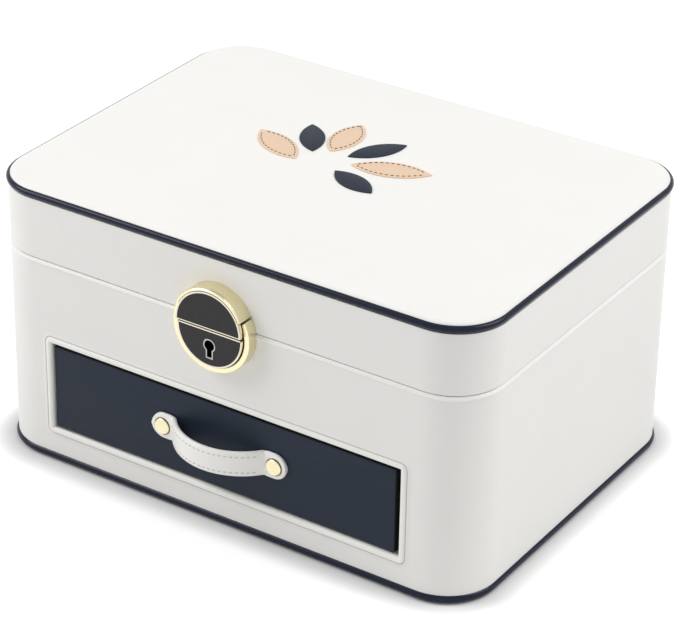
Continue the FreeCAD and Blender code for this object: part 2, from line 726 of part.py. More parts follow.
# Drawer
def drawer():
    front = new_body("drawer_front_leather_body")
    sketch = sketch_on(
        front, "drawer_front_leather_sketch", role="XZ_Plane",
        lift="case_depth / 2 - drawer_recess - leather - front_board")
    rounded_outline(
        sketch, "outer_", DRAWER_LEFT, DRAWER_RIGHT,
        "opening_bottom + drawer_gap_bottom", DRAWER_TOP, "edge_round",
    )
    skin = pad(front, "drawer_front_leather_pad", sketch, "leather + front_board")
    front.Tip = round_edges(
        front, "drawer_front_leather_round", skin, "front_round", face_edges(DRAWER_FACE))
    inside_x = (DRAWER_LEFT + " + leather", DRAWER_RIGHT + " - leather")
    inside_y = ("-case_depth / 2 + drawer_recess + leather", DRAWER_FRONT_BACK)
    inside_z = ("opening_bottom + drawer_gap_bottom + leather", DRAWER_TOP + " - leather")
    hollow = block("drawer_front_hollow", inside_x, (inside_y[0], inside_y[1] + " + overshoot"), inside_z)
    shanks = [rivet_bore("drawer_front_leather_bore_%d" % (side + 1), side) for side in (-1, 1)]
    node("drawer_front_leather", cut("drawer_front_leather_cut", front, hollow, *shanks))
    board = block("drawer_front_board_box", inside_x, inside_y, inside_z)
    shanks = [rivet_bore("drawer_front_board_bore_%d" % (side + 1), side) for side in (-1, 1)]
    node("drawer_front_board", cut("drawer_front_board_cut", board, *shanks))

    side_left = DRAWER_LEFT + " + drawer_side_inset"
    side_right = DRAWER_RIGHT + " - drawer_side_inset"
    node("drawer_bottom", block(
        "drawer_bottom_box", (side_left, side_right), (DRAWER_FRONT_BACK, DRAWER_END),
        (DRAWER_BASE, DRAWER_DECK)))
    node("drawer_side_left", block(
        "drawer_side_left_box", (side_left, side_left + " + drawer_board"),
        (DRAWER_FRONT_BACK, DRAWER_END), (DRAWER_DECK, DRAWER_SIDE_TOP)))
    node("drawer_side_right", block(
        "drawer_side_right_box", (side_right + " - drawer_board", side_right),
        (DRAWER_FRONT_BACK, DRAWER_END), (DRAWER_DECK, DRAWER_SIDE_TOP)))
    node("drawer_back", block(
        "drawer_back_box", (side_left + " + drawer_board", side_right + " - drawer_board"),
        (DRAWER_END + " - drawer_board", DRAWER_END), (DRAWER_DECK, DRAWER_SIDE_TOP)))

    lining_x = (side_left + " + drawer_board", side_right + " - drawer_board")
    lining_y = (DRAWER_FRONT_BACK + " + washer_thickness + fit", DRAWER_END + " - drawer_board")
    lining_top = DRAWER_SIDE_TOP + " - lining_drop"
    outer = block("drawer_lining_outer", lining_x, lining_y, (DRAWER_DECK, lining_top))
    room_x = (lining_x[0] + " + velvet", lining_x[1] + " - velvet")
    room_y = (lining_y[0] + " + velvet", lining_y[1] + " - velvet")
    room = block(
        "drawer_lining_room", room_x, room_y, (DRAWER_DECK + " + velvet", lining_top + " + overshoot"))
    node("drawer_lining", cut("drawer_lining_cut", outer, room))
    divider_top = lining_top + " - divider_drop"
    long_y = ("drawer_divider_place - divider / 2", "drawer_divider_place + divider / 2")
    node("drawer_divider_long", block(
        "drawer_divider_long_box", (room_x[0] + " + fit", room_x[1] + " - fit"), long_y,
        (DRAWER_DECK + " + velvet", divider_top)))
    node("drawer_divider_cross", block(
        "drawer_divider_cross_box", ("drawer_cross_place - divider / 2", "drawer_cross_place + divider / 2"),
        (room_y[0] + " + fit", long_y[0]), (DRAWER_DECK + " + velvet", divider_top)))


# Pull strap
def rivet_bore(name, side):
    """A rivet's way through the strap, the drawer's front and the washer behind it."""
    start = DRAWER_FACE + " - strap_thickness - rivet_head_height - overshoot"
    end = DRAWER_FRONT_BACK + " + washer_thickness + overshoot"
    length = "(%s) - (%s)" % (end, start)
    return rod(name, "y", "rivet_shank", length, "%d * strap_reach" % side, start, STRAP_CENTRE)


def strap_side_face():
    """The strap seen from above: flat tabs that rise through a hollow arc into one wide arc."""
    face_y = number_of(DRAWER_FACE)
    middle_y = face_y - size("strap_thickness") / 2
    half = size("strap_thickness") / 2
    rise, bow, bend = size("strap_rise"), size("strap_bow"), size("strap_bend")
    turn = 2 * math.atan2(bow, rise)
    crown = rise / math.sin(turn) - bend
    end = size("strap_reach") + size("strap_width") / 2

    def ring_point(centre_x, centre_y, radius, angle):
        return FreeCAD.Vector(centre_x + radius * math.sin(angle), centre_y - radius * math.cos(angle), 0)

    edges = []
    for offset in (half, -half):
        crown_centre = middle_y - bow + crown
        bend_centre = middle_y - bend
        left_end = FreeCAD.Vector(-end, middle_y - offset, 0)
        left_foot = FreeCAD.Vector(-rise, middle_y - offset, 0)
        left_bend = ring_point(-rise, bend_centre, offset - bend, -turn / 2)
        left_join = ring_point(-rise, bend_centre, offset - bend, -turn)
        top = ring_point(0, crown_centre, crown + offset, 0)
        right_join = FreeCAD.Vector(-left_join.x, left_join.y, 0)
        right_bend = FreeCAD.Vector(-left_bend.x, left_bend.y, 0)
        right_foot = FreeCAD.Vector(rise, left_foot.y, 0)
        right_end = FreeCAD.Vector(end, left_end.y, 0)
        edges.append([
            Part.LineSegment(left_end, left_foot).toShape(),
            Part.Arc(left_foot, left_bend, left_join).toShape(),
            Part.Arc(left_join, top, right_join).toShape(),
            Part.Arc(right_join, right_bend, right_foot).toShape(),
            Part.LineSegment(right_foot, right_end).toShape(),
        ])
    ends = []
    for x in (-end, end):
        outside = FreeCAD.Vector(x, middle_y - half, 0)
        inside = FreeCAD.Vector(x, middle_y + half, 0)
        ends.append(Part.LineSegment(outside, inside).toShape())
    return Part.Face(Part.Wire(Part.__sortEdges__(edges[0] + edges[1] + ends)))


def pull_strap():
    """The strap's side shape, as high as the strap is wide, trimmed to an outline with round ends."""
    width, reach = size("strap_width"), size("strap_reach")
    height = number_of(STRAP_CENTRE)
    back = FreeCAD.Vector(0, 1, 0)
    side = strap_side_face()
    side.translate(FreeCAD.Vector(0, 0, height - width / 2))
    solid = side.extrude(FreeCAD.Vector(0, 0, width))
    deep = size("strap_bow") + 2 * size("strap_thickness") + 2 * size("overshoot")
    start = number_of(DRAWER_FACE + " + overshoot") - deep
    outline = Part.makeBox(2 * reach, deep, width, FreeCAD.Vector(-reach, start, height - width / 2))
    middles = [FreeCAD.Vector(side * reach, start, height) for side in (-1, 1)]
    outline = outline.fuse([Part.makeCylinder(width / 2, deep, middle, back) for middle in middles])
    strap = solid.common(outline)
    strap = strap.cut([Part.makeCylinder(size("rivet_shank"), deep, middle, back) for middle in middles])
    thing = doc.addObject("Part::Feature", "pull_strap_shape")
    thing.Shape = strap.removeSplitter()
    node("pull_strap", thing)


def rivets():
    """Two rivets hold the strap: a flat head outside, a shank through the front, a washer inside."""
    bodies = []
    washers = []
    outside = DRAWER_FACE + " - strap_thickness"
    for side in (-1, 1):
        x = "%d * strap_reach" % side
        head = rod(
            "rivet_head_%d" % (side + 1), "y", "rivet_head", "rivet_head_height",
            x, outside + " - rivet_head_height", STRAP_CENTRE)
        shank = rod(
            "rivet_shank_%d" % (side + 1), "y", "rivet_shank - fit / 4",
            "strap_thickness + leather + front_board + washer_thickness",
            x, outside, STRAP_CENTRE)
        bodies.append(fuse("rivet_%d" % (side + 1), head, shank))
        disc = rod(
            "washer_disc_%d" % (side + 1), "y", "washer_radius", "washer_thickness",
            x, DRAWER_FRONT_BACK, STRAP_CENTRE)
        washers.append(cut("washer_%d" % (side + 1), disc, rivet_bore("washer_bore_%d" % (side + 1), side)))
    node("strap_rivets", group("strap_rivets_group", *bodies))
    node("rivet_washers", group("rivet_washers_group", *washers))


# Lid
def lid():
    cover = new_body("lid_cover_body")
    slab(cover, "lid_cover_skin", "0", LID_BOTTOM, LID_WALL_TOP, hollow="leather")
    lip = slab(cover, "lid_cover_rim", "0", LID_BOTTOM, LID_BOTTOM + " + leather", hollow=WALL)
    cover.Tip = round_edges(cover, "lid_cover_round", lip, "edge_round", level_outer(LID_BOTTOM, "0"))
    tools = [bevel_tool("lid_cover_bevel", lid=True)] + mortises("lid_cover")
    node("lid_cover", cut("lid_cover_cut", cover, *tools))

    ring = new_body("lid_board_body")
    slab(ring, "lid_board_ring", "leather", LID_BOTTOM + " + leather", LID_WALL_TOP, hollow=WALL)
    tools = [bevel_tool("lid_board_bevel", lid=True)] + mortises("lid_board")
    tools += screw_holes(
        "lid_board_screw_hole", HINGE_Z, HINGE_Z + " + hinge_screw_length + hinge_leaf",
        "hinge_screw + fit / 4")
    tools += striker_holes("lid_board_striker_hole")
    node("lid_board", cut("lid_board_cut", ring, *tools))

    inner = "(%s + leather)" % PANEL_INSET
    panel = new_body("lid_top_board_body")
    slab(panel, "lid_top_board_pad", inner, LID_WALL_TOP, LID_WALL_TOP + " + top_board")
    node("lid_top_board", panel)

    foam = new_body("lid_top_foam_body")
    foam_top = LID_TOP + " - leather"
    layer = slab(foam, "lid_top_foam_pad", inner, LID_WALL_TOP + " + top_board", foam_top)
    foam.Tip = round_edges(
        foam, "lid_top_foam_round", layer, "top_round - leather", level_outer(foam_top, inner))
    node("lid_top_foam", foam)

    skin = new_body("lid_top_leather_body")
    outside = slab(skin, "lid_top_leather_pad", PANEL_INSET, LID_WALL_TOP, LID_TOP)
    skin.Tip = round_edges(
        skin, "lid_top_leather_round", outside, "top_round", level_outer(LID_TOP, PANEL_INSET))
    inside = new_body("lid_top_hollow_body")
    core = slab(inside, "lid_top_hollow_pad", inner, LID_WALL_TOP + " - overshoot", foam_top)
    inside.Tip = round_edges(
        inside, "lid_top_hollow_round", core, "top_round - leather", level_outer(foam_top, inner))
    node("lid_top_leather", cut("lid_top_leather_cut", skin, inside))

    ceiling = new_body("lid_ceiling_body")
    slab(ceiling, "lid_ceiling_pad", WALL, LID_CEILING, LID_CEILING + " + lid_ceiling_board")
    node("lid_ceiling_board", ceiling)

    lining = new_body("lid_lining_body")
    low = LID_BOTTOM + " + lid_lining_drop"
    slab(lining, "lid_lining_walls", WALL, low, LID_CEILING, hollow=TRAY_WALL_INSET)
    slab(lining, "lid_lining_ceiling", WALL, MIRROR_BACK, LID_CEILING)
    notch = block(
        "lid_lining_notch",
        ("-striker_width / 2 - 2 * striker_play", "striker_width / 2 + 2 * striker_play"),
        ("-" + INNER_BACK + " - overshoot", "-" + INNER_BACK + " + velvet + overshoot"),
        (low + " - overshoot", STRIKER_TOP + " + striker_play"),
    )
    node("lid_lining", cut("lid_lining_cut", lining, notch))


def mirror():
    """A mirror glass on the lid's ceiling, held by a moulded frame that laps over its edge."""
    half_width = "(case_width / 2 - mirror_side)"
    half_depth = "(case_depth / 2 - mirror_end)"

    def plate(name, grow, radius, low, high):
        body = new_body(name + "_body")
        sketch = sketch_on(body, name + "_plan", lift=low)
        rounded_outline(
            sketch, "outer_", "-(%s + (%s))" % (half_width, grow), "%s + (%s)" % (half_width, grow),
            "-(%s + (%s))" % (half_depth, grow), "%s + (%s)" % (half_depth, grow), radius)
        return body, pad(body, name + "_pad", sketch, "(%s) - (%s)" % (high, low))

    glass, _ = plate("mirror_glass", "0", "mirror_corner", MIRROR_BACK + " - mirror_glass", MIRROR_BACK)
    node("mirror_glass", glass)
    low = MIRROR_BACK + " - frame_depth"
    frame, layer = plate(
        "mirror_frame", "frame_face - frame_lap", "mirror_corner + frame_face - frame_lap",
        low, MIRROR_BACK)
    level = number_of(low)
    frame.Tip = round_edges(
        frame, "mirror_frame_round", layer, "frame_round",
        lambda box: abs(box.ZMin - level) < 0.01 and abs(box.ZMax - level) < 0.01)
    rebate, _ = plate(
        "mirror_rebate", "fit / 2", "mirror_corner + fit / 2",
        MIRROR_BACK + " - mirror_glass - fit / 2", MIRROR_BACK + " + overshoot")
    window, _ = plate(
        "mirror_window", "-frame_lap", "mirror_corner - frame_lap", low + " - overshoot", MIRROR_BACK)
    node("mirror_frame", cut("mirror_frame_cut", frame, rebate, window))


# Hinges
def hinge_leaf(label, side, lid_side):
    """One leaf: a flat plate let into the rim, with its knuckles rolled round the pin."""
    middle = hinge_middle(side)
    third = "hinge_length / 3"
    if lid_side:
        z = (HINGE_Z + " + fit / 2", HINGE_Z + " + hinge_leaf")
        spans = [(middle + " - %s / 2 + fit / 2" % third, middle + " + %s / 2 - fit / 2" % third)]
    else:
        z = (HINGE_Z + " - hinge_leaf", HINGE_Z + " - fit / 2")
        spans = [
            (middle + " - hinge_length / 2", middle + " - %s / 2 - fit / 2" % third),
            (middle + " + %s / 2 + fit / 2" % third, middle + " + hinge_length / 2"),
        ]
    edge = HINGE_Y + " - hinge_barrel - hinge_air"
    pieces = [block(
        label + "_plate", (middle + " - hinge_length / 2", middle + " + hinge_length / 2"),
        (INNER_BACK + " + fit", edge), z)]
    for number, (start, end) in enumerate(spans):
        pieces.append(block("%s_tongue_%d" % (label, number), (start, end), (edge + " - fit", HINGE_Y), z))
        pieces.append(rod(
            "%s_knuckle_%d" % (label, number), "x", "hinge_barrel", "(%s) - (%s)" % (end, start),
            start, HINGE_Y, HINGE_Z))
    tools = [rod(
        label + "_pin_bore", "x", "hinge_pin + fit / 2", "hinge_length + 2 * overshoot",
        middle + " - hinge_length / 2 - overshoot", HINGE_Y, HINGE_Z)]
    for step in (-1, 0, 1):
        x = "%s + %d * hinge_length / 3" % (middle, step)
        tools.append(rod(
            "%s_hole_%d" % (label, step + 1), "z", "hinge_screw_head + fit / 2",
            "2 * (hinge_leaf + overshoot)", x, SCREW_Y, HINGE_Z + " - hinge_leaf - overshoot"))
    node(label, cut(label + "_cut", fuse(label + "_whole", *pieces), *tools))


def hinges():
    pins = []
    for side, word in ((-1, "left"), (1, "right")):
        hinge_leaf("hinge_case_leaf_" + word, side, lid_side=False)
        hinge_leaf("hinge_lid_leaf_" + word, side, lid_side=True)
        pins.append(rod(
            "hinge_pin_%s_rod" % word, "x", "hinge_pin", "hinge_length",
            hinge_middle(side) + " - hinge_length / 2", HINGE_Y, HINGE_Z))
    node("hinge_pins", group("hinge_pins_group", *pins))
    head_height = "hinge_leaf - hinge_screw_sink"
    for label, head_low, shank_low in (
        ("hinge_case_screws", " - hinge_leaf", " - hinge_screw_sink - hinge_screw_length"),
        ("hinge_lid_screws", " + hinge_screw_sink", " + hinge_screw_sink"),
    ):
        screws = []
        for number, x in enumerate(hinge_screw_places()):
            name = "%s_%d" % (label, number)
            head = rod(name + "_head", "z", "hinge_screw_head", head_height, x, SCREW_Y, HINGE_Z + head_low)
            shank = rod(
                name + "_shank", "z", "hinge_screw", "hinge_screw_length", x, SCREW_Y, HINGE_Z + shank_low)
            screws.append(fuse(name, head, shank))
        node(label, group(label + "_group", *screws))


# Lock
LOCK_FRONT = "(-case_depth / 2)"
STRIKER_FRONT = "(-case_depth / 2 + leather + wall_board + striker_gap)"
STRIKER_SCREW_Z = "(case_rim_height + seam_gap + striker_screw_rise)"
STRIKER_TOP = "(case_rim_height + seam_gap + striker_height)"
STRIKER_LOW = "(%s + barrel_radius + fit + striker_clear)" % KEY_CENTRE
LOCK_SIDES = ("-lock_radius - overshoot", "lock_radius + overshoot")
LOCK_OVER = "(%s + lock_radius + overshoot)" % LOCK_CENTRE
EAR_TOP = "(%s + lock_radius * sin(ear_angle))" % LOCK_CENTRE
BARREL_END = "(-case_depth / 2 + leather + wall_board + lock_box_wall + barrel_reach)"


def disc(name, radius, start, end, height):
    """A flat round piece that faces the front, between two distances proud of the wall."""
    return rod(name, "y", radius, "(%s) - (%s)" % (end, start), "0", LOCK_FRONT + " - (%s)" % end, height)


def lock_depth(start, end):
    """The room between two distances proud of the wall, for a cutting shape."""
    return (LOCK_FRONT + " - (%s) - overshoot" % end, LOCK_FRONT + " - (%s) + overshoot" % start)


def lock_cup():
    """The lock's fixed ring on the case: a floor, and a round wall whose ears rise past the seam."""
    wall = cut(
        "lock_cup_wall",
        disc("lock_cup_outer", "lock_radius", "0", "lock_proud", LOCK_CENTRE),
        disc(
            "lock_cup_inner", "lock_radius - lock_wall", "-overshoot", "lock_proud + overshoot",
            LOCK_CENTRE),
    )
    above = block("lock_cup_above", LOCK_SIDES, lock_depth("0", "lock_proud"), (EAR_TOP, LOCK_OVER))
    floor = cut(
        "lock_cup_floor",
        disc("lock_cup_floor_disc", "lock_radius - lock_wall / 2", "0", "lock_base", LOCK_CENTRE),
        block(
            "lock_cup_floor_top", LOCK_SIDES, lock_depth("0", "lock_base"),
            ("case_rim_height - edge_round", LOCK_OVER)),
    )
    whole = fuse("lock_cup_whole", cut("lock_cup_ring", wall, above), floor)
    bore = lock_bore("lock_cup_bore", "barrel_radius + fit", *lock_depth("0", "lock_base"))
    node("lock_ring", cut("lock_ring_cut", whole, bore))


def half_disc(name, radius, start, end, height, removed):
    """A round plate without all of it that lies between two heights."""
    return cut(
        name, disc(name + "_disc", radius, start, end, height),
        block(name + "_rest", LOCK_SIDES, lock_depth(start, end), removed))


def lower_half(name, radius, start, end, top):
    """The part of a round plate on the case's side of the seam."""
    return half_disc(name, radius, start, end, LOCK_CENTRE, (top, LOCK_OVER))


def upper_half(name, radius, start, end, bottom):
    """The part of a round plate on the lid's side of the seam."""
    return half_disc(name, radius, start, end, CAP_CENTRE, (LOCK_CENTRE + " - lock_radius", bottom))


def keyhole(name, grow, start, end):
    """The keyhole's shape: a round hole with a straight slot under it."""
    y = LOCK_FRONT + " - (%s)" % end
    hole = disc(name + "_hole", "key_hole + (%s)" % grow, start, end, KEY_CENTRE)
    slot = block(
        name + "_slot", ("-key_slot / 2 - (%s)" % grow, "key_slot / 2 + (%s)" % grow),
        (y, LOCK_FRONT + " - (%s)" % start), (KEY_CENTRE + " - key_drop - (%s)" % grow, KEY_CENTRE))
    return fuse(name, hole, slot)


def lock_button():
    """The half disc that is pressed: plate with its inlay, and a hollow barrel through the wall."""
    back = "(plate_proud - plate_thickness)"
    inlay_floor = "(plate_proud - inlay_depth)"
    inlay_top = PLATE_TOP + " - inlay_edge"
    over = "plate_proud + overshoot"
    plate = lower_half("lock_button_plate", "plate_radius", back, "plate_proud", PLATE_TOP)
    pocket = lower_half("lock_button_pocket", "inlay_radius", inlay_floor, over, inlay_top)
    barrel = lock_bore(
        "lock_button_barrel", "barrel_radius", LOCK_FRONT + " - %s - fit * 2" % back, BARREL_END)
    fin = block(
        "lock_button_fin", ("-barrel_radius", "-cam_nose - cam_air"),
        (STRIKER_FRONT + " + striker + fit * 2", BARREL_END),
        (KEY_CENTRE, STRIKER_LOW + " + striker_foot + fin_rise"))
    bore = lock_bore(
        "lock_button_bore", "cylinder_radius + fit / 2", LOCK_FRONT + " - %s" % back,
        BARREL_END + " + overshoot")
    whole = fuse("lock_button_whole", plate, barrel, fin)
    through = keyhole("lock_button_keyhole", "0", back + " - overshoot", over)
    node("lock_button", cut("lock_button_cut", whole, pocket, bore, through))

    inlay = lower_half(
        "lock_button_inlay_plate", "inlay_radius - fit / 4", inlay_floor, "plate_proud",
        inlay_top + " - fit / 4")
    rim_hole = keyhole("inlay_keyhole", "key_rim + fit / 4", inlay_floor + " - overshoot", over)
    node("lock_button_inlay", cut("lock_button_inlay_cut", inlay, rim_hole))
    rim = keyhole("keyhole_rim_outer", "key_rim", inlay_floor, "plate_proud + key_rim_proud")
    hole = keyhole("keyhole_rim_inner", "0", inlay_floor + " - overshoot", over)
    node("keyhole_rim", cut("keyhole_rim_cut", rim, hole))


def clasp_cap():
    """The lid's half of the clasp: a thick round head over the ears, a plate between them, a core."""
    head_low = EAR_TOP + " + fit * 3"
    back = "cap_proud - cap_plate"
    head = upper_half("clasp_head", "cap_radius", "0", "cap_proud", head_low)
    plate = upper_half("clasp_plate", "plate_radius", back, "cap_proud", LID_BOTTOM)
    core = block(
        "clasp_core", ("-cap_core / 2", "cap_core / 2"),
        (LOCK_FRONT + " - cap_proud + cap_plate / 2", LOCK_FRONT), (LID_BOTTOM, head_low + " + overshoot"))
    whole = fuse("clasp_cap_whole", head, plate, core)
    inlay_floor = "cap_proud - inlay_depth"
    inlay_low = LID_BOTTOM + " + inlay_edge"
    pocket = upper_half("clasp_pocket", "inlay_radius", inlay_floor, "cap_proud + overshoot", inlay_low)
    node("clasp_cap", cut("clasp_cap_cut", whole, pocket))
    node("clasp_cap_inlay", upper_half(
        "clasp_inlay", "inlay_radius - fit / 4", inlay_floor, "cap_proud", inlay_low + " + fit / 4"))


def striker_holes(name):
    """Two screw holes through the lid's front wall, for the striker."""
    holes = []
    for side in (-1, 1):
        holes.append(rod(
            "%s_%d" % (name, side + 1), "y", "hinge_screw + fit / 4", "screw_bite + 2 * striker",
            "%d * striker_width / 4" % side, "-%s - screw_bite" % INNER_BACK, STRIKER_SCREW_Z))
    return holes


def striker():
    """The tongue of the lid: a plate on the lid's inner wall with a hooked foot for the lock's cam."""
    low_wall = block(
        "striker_plate", ("-striker_width / 2", "striker_width / 2"),
        ("-" + INNER_BACK, "-" + INNER_BACK + " + striker"), (LID_BOTTOM + " + striker_lift", STRIKER_TOP))
    shelf = block(
        "striker_step", ("-striker_width / 2", "striker_width / 2"),
        ("-" + INNER_BACK, STRIKER_FRONT + " + striker"),
        (LID_BOTTOM + " + striker_lift", LID_BOTTOM + " + striker_lift + striker"))
    tongue = block(
        "striker_tongue", ("-striker_width / 2", "striker_width / 2"),
        (STRIKER_FRONT, STRIKER_FRONT + " + striker"),
        (STRIKER_LOW, LID_BOTTOM + " + striker_lift + striker"))
    hook_y = (STRIKER_FRONT + " - overshoot", STRIKER_FRONT + " + striker + overshoot")
    window = block(
        "striker_window", ("-striker_width / 2 + striker_edge", "striker_width / 2 + overshoot"), hook_y,
        (STRIKER_LOW + " + striker_foot", LID_BOTTOM))
    toe = block(
        "striker_toe", ("striker_foot", "striker_width / 2 + overshoot"), hook_y,
        (STRIKER_LOW + " - overshoot", LID_BOTTOM))
    whole = fuse("striker_whole", low_wall, shelf, tongue)
    node("clasp_striker", cut("clasp_striker_cut", whole, window, toe, *striker_holes("striker_hole")))
    screws = []
    for side in (-1, 1):
        x = "%d * striker_width / 4" % side
        y = "-" + INNER_BACK + " + striker"
        head = rod(
            "striker_screw_head_%d" % (side + 1), "y", "hinge_screw_head", "screw_head_height",
            x, y, STRIKER_SCREW_Z)
        shank = rod(
            "striker_screw_shank_%d" % (side + 1), "y", "hinge_screw", "striker + screw_bite - fit",
            x, "-%s - screw_bite + fit" % INNER_BACK, STRIKER_SCREW_Z)
        screws.append(fuse("striker_screw_%d" % (side + 1), head, shank))
    node("striker_screws", group("striker_screws_group", *screws))


def lock_box():
    """The lock's metal box behind the front wall, open at the top for the striker."""
    x = ("-lock_box_width / 2", "lock_box_width / 2")
    y = ("-" + INNER_BACK, "-" + INNER_BACK + " + lock_box_depth")
    z = (SHELF_TOP, LEDGE_BOTTOM)
    outer = block("lock_box_outer", x, y, z)
    room = block(
        "lock_box_room", (x[0] + " + lock_box_wall", x[1] + " - lock_box_wall"),
        (y[0] + " + lock_box_wall", y[1] + " - lock_box_wall"),
        (SHELF_TOP + " + lock_box_wall", LEDGE_BOTTOM + " + overshoot"))
    front_wall = (y[0] + " - overshoot", y[0] + " + lock_box_wall + overshoot")
    bore = lock_bore("lock_box_bore", "barrel_radius + fit", *front_wall)
    mouth = block(
        "lock_box_mouth", ("-striker_width / 2 - striker_play", "striker_width / 2 + striker_play"),
        front_wall, (STRIKER_LOW + " - striker_play", LEDGE_BOTTOM + " + overshoot"))
    node("lock_box", cut("lock_box_cut", outer, room, bore, mouth))


def key_cylinder():
    """The key's cylinder inside the button's barrel, with its slot and the cam behind."""
    front = LOCK_FRONT + " - plate_proud + plate_thickness + fit"
    back = BARREL_END + " + fit * 3"
    core = lock_bore("key_cylinder_core", "cylinder_radius", front, back)
    slot = block(
        "key_cylinder_slot", ("-key_blade / 2", "key_blade / 2"),
        (front + " - overshoot", front + " + key_depth"),
        (KEY_CENTRE + " - key_blade_height / 2", KEY_CENTRE + " + key_blade_height / 2"))
    arm_y = (back, back + " + cam_thickness")
    hub = lock_bore("cam_hub", "cylinder_radius + cam_hub_rim", *arm_y)
    arm = block(
        "cam_arm", ("0", "cam_reach + cam_nose"), arm_y,
        (KEY_CENTRE + " - cam_nose", KEY_CENTRE + " + cam_nose"))
    nose_start = "-" + INNER_BACK + " + lock_box_wall + fit * 2"
    nose = rod(
        "cam_nose_rod", "y", "cam_nose", "(%s) - (%s) + cam_thickness / 2" % (back, nose_start),
        "cam_reach", nose_start, KEY_CENTRE)
    whole = fuse("key_cylinder_whole", core, hub, arm, nose)
    node("key_cylinder", cut("key_cylinder_cut", whole, slot))


def button_spring():
    """The spring that pushes the button out: a thin steel bellows round the barrel."""
    half = size("spring_wall") / 2
    inside = size("barrel_radius") + size("spring_air")
    radii = (inside + half, inside + size("spring_width") - half)
    floor = number_of("-case_depth / 2 - lock_base - fit")
    plate = number_of("-case_depth / 2 - plate_proud + plate_thickness + fit")
    folds = 2 * int(round(size("spring_folds")))
    middles = [(radii[fold % 2], floor + (plate - floor) * fold / folds) for fold in range(folds + 1)]
    chain = [FreeCAD.Vector(radius + half, y, 0) for radius, y in middles]
    chain += [FreeCAD.Vector(radius - half, y, 0) for radius, y in reversed(middles)]
    section = Part.Face(Part.makePolygon(chain + chain[:1]))
    bellows = section.revolve(FreeCAD.Vector(), FreeCAD.Vector(0, 1, 0), 360)
    bellows.translate(FreeCAD.Vector(0, 0, number_of(KEY_CENTRE)))
    thing = doc.addObject("Part::Feature", "button_spring_shape")
    thing.Shape = bellows
    node("button_spring", thing)


# Applied leather design on the top
def leaf_shape(x, y, angle, length, width):
    """A pointed leaf: two arcs that meet at its ends, its foot at a place, as thick as its leather."""
    unit = size("leaf_length")
    reach = unit * length
    half = size("leaf_width") * width / 2
    foot = FreeCAD.Vector(0, 0, 0)
    tip = FreeCAD.Vector(reach, 0, 0)
    belly = reach * LEAF_BELLY
    wire = Part.Wire([
        Part.Arc(foot, FreeCAD.Vector(belly, half, 0), tip).toShape(),
        Part.Arc(tip, FreeCAD.Vector(belly, -half, 0), foot).toShape(),
    ])
    solid = Part.Face(wire).extrude(FreeCAD.Vector(0, 0, size("motif_leather")))
    solid.rotate(FreeCAD.Vector(), FreeCAD.Vector(0, 0, 1), angle)
    middle = (size("motif_centre") + unit * x, size("motif_back") + unit * y)
    solid.translate(FreeCAD.Vector(middle[0], middle[1], number_of(LID_TOP)))
    return solid


def motif():
    for tone in ("light", "dark"):
        thing = doc.addObject("Part::Feature", "motif_leaves_%s_shape" % tone)
        thing.Shape = Part.Compound([leaf_shape(*leaf[1:]) for leaf in LEAVES if leaf[0] == tone])
        node("motif_leaves_" + tone, thing)


base_felt()
base_board()
piping("bottom_piping", "(piping_lift + piping_diameter / 2)")
case_board()
case_cover()
opening_trim()
bay()
tray()
ring_rolls()
lock_cup()
lock_box()
drawer()
pull_strap()
rivets()
lid()
piping("lid_piping", TOP_PIPING)
mirror()
hinges()
lock_button()
button_spring()
key_cylinder()
clasp_cap()
striker()
motif()

doc.recompute()
for item in doc.Objects:
    broken = [state for state in item.State if state in ("Invalid", "Error")]
    if broken:
        raise RuntimeError("%s did not build: %s" % (item.Name, broken))
for item in NODES:
    if item.Shape.isNull() or not item.Shape.isValid() or not item.Shape.Solids:
        raise RuntimeError("%s has no valid solid" % item.Label)

os.makedirs("parts", exist_ok=True)
for item in NODES:
    item.Shape.exportStep(os.path.join("parts", item.Label + ".step"))
print("%d sub-parts, %d solids" % (len(NODES), sum(len(item.Shape.Solids) for item in NODES)))
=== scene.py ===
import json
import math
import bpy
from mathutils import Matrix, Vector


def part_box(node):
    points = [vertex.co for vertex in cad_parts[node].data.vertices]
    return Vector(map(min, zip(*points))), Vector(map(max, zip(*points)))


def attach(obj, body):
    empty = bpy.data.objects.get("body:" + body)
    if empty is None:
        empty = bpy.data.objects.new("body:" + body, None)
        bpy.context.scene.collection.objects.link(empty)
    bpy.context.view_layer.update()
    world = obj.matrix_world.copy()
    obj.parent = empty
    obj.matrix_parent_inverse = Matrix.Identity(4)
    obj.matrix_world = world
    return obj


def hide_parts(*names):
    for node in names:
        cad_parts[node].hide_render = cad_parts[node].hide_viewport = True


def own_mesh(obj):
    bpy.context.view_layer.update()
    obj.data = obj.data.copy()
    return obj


bl_info = {
    "name": "Jewellery box",
    "version": (1, 0, 0),
    "blender": (4, 5, 0),
    "location": "View3D > Sidebar > Jewellery box",
    "description": "Leather, stitching, metal and velvet of a jewellery box with a mirror and a drawer",
    "category": "Object",
}

import bmesh
import bpy
from mathutils import Matrix, Vector

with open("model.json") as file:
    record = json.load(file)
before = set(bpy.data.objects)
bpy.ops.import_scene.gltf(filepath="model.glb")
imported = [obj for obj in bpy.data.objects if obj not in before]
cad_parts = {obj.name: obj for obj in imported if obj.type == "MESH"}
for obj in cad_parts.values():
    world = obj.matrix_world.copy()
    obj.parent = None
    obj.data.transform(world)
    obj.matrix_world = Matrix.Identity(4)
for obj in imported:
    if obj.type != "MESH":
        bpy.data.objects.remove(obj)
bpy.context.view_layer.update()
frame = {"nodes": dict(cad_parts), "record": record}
MM = 0.001


def srgb(code):
    """A colour written as sRGB hex, as the linear values that a shader reads."""
    channels = [int(code[start:start + 2], 16) / 255 for start in (0, 2, 4)]
    return tuple(v / 12.92 if v <= 0.04045 else ((v + 0.055) / 1.055) ** 2.4 for v in channels)


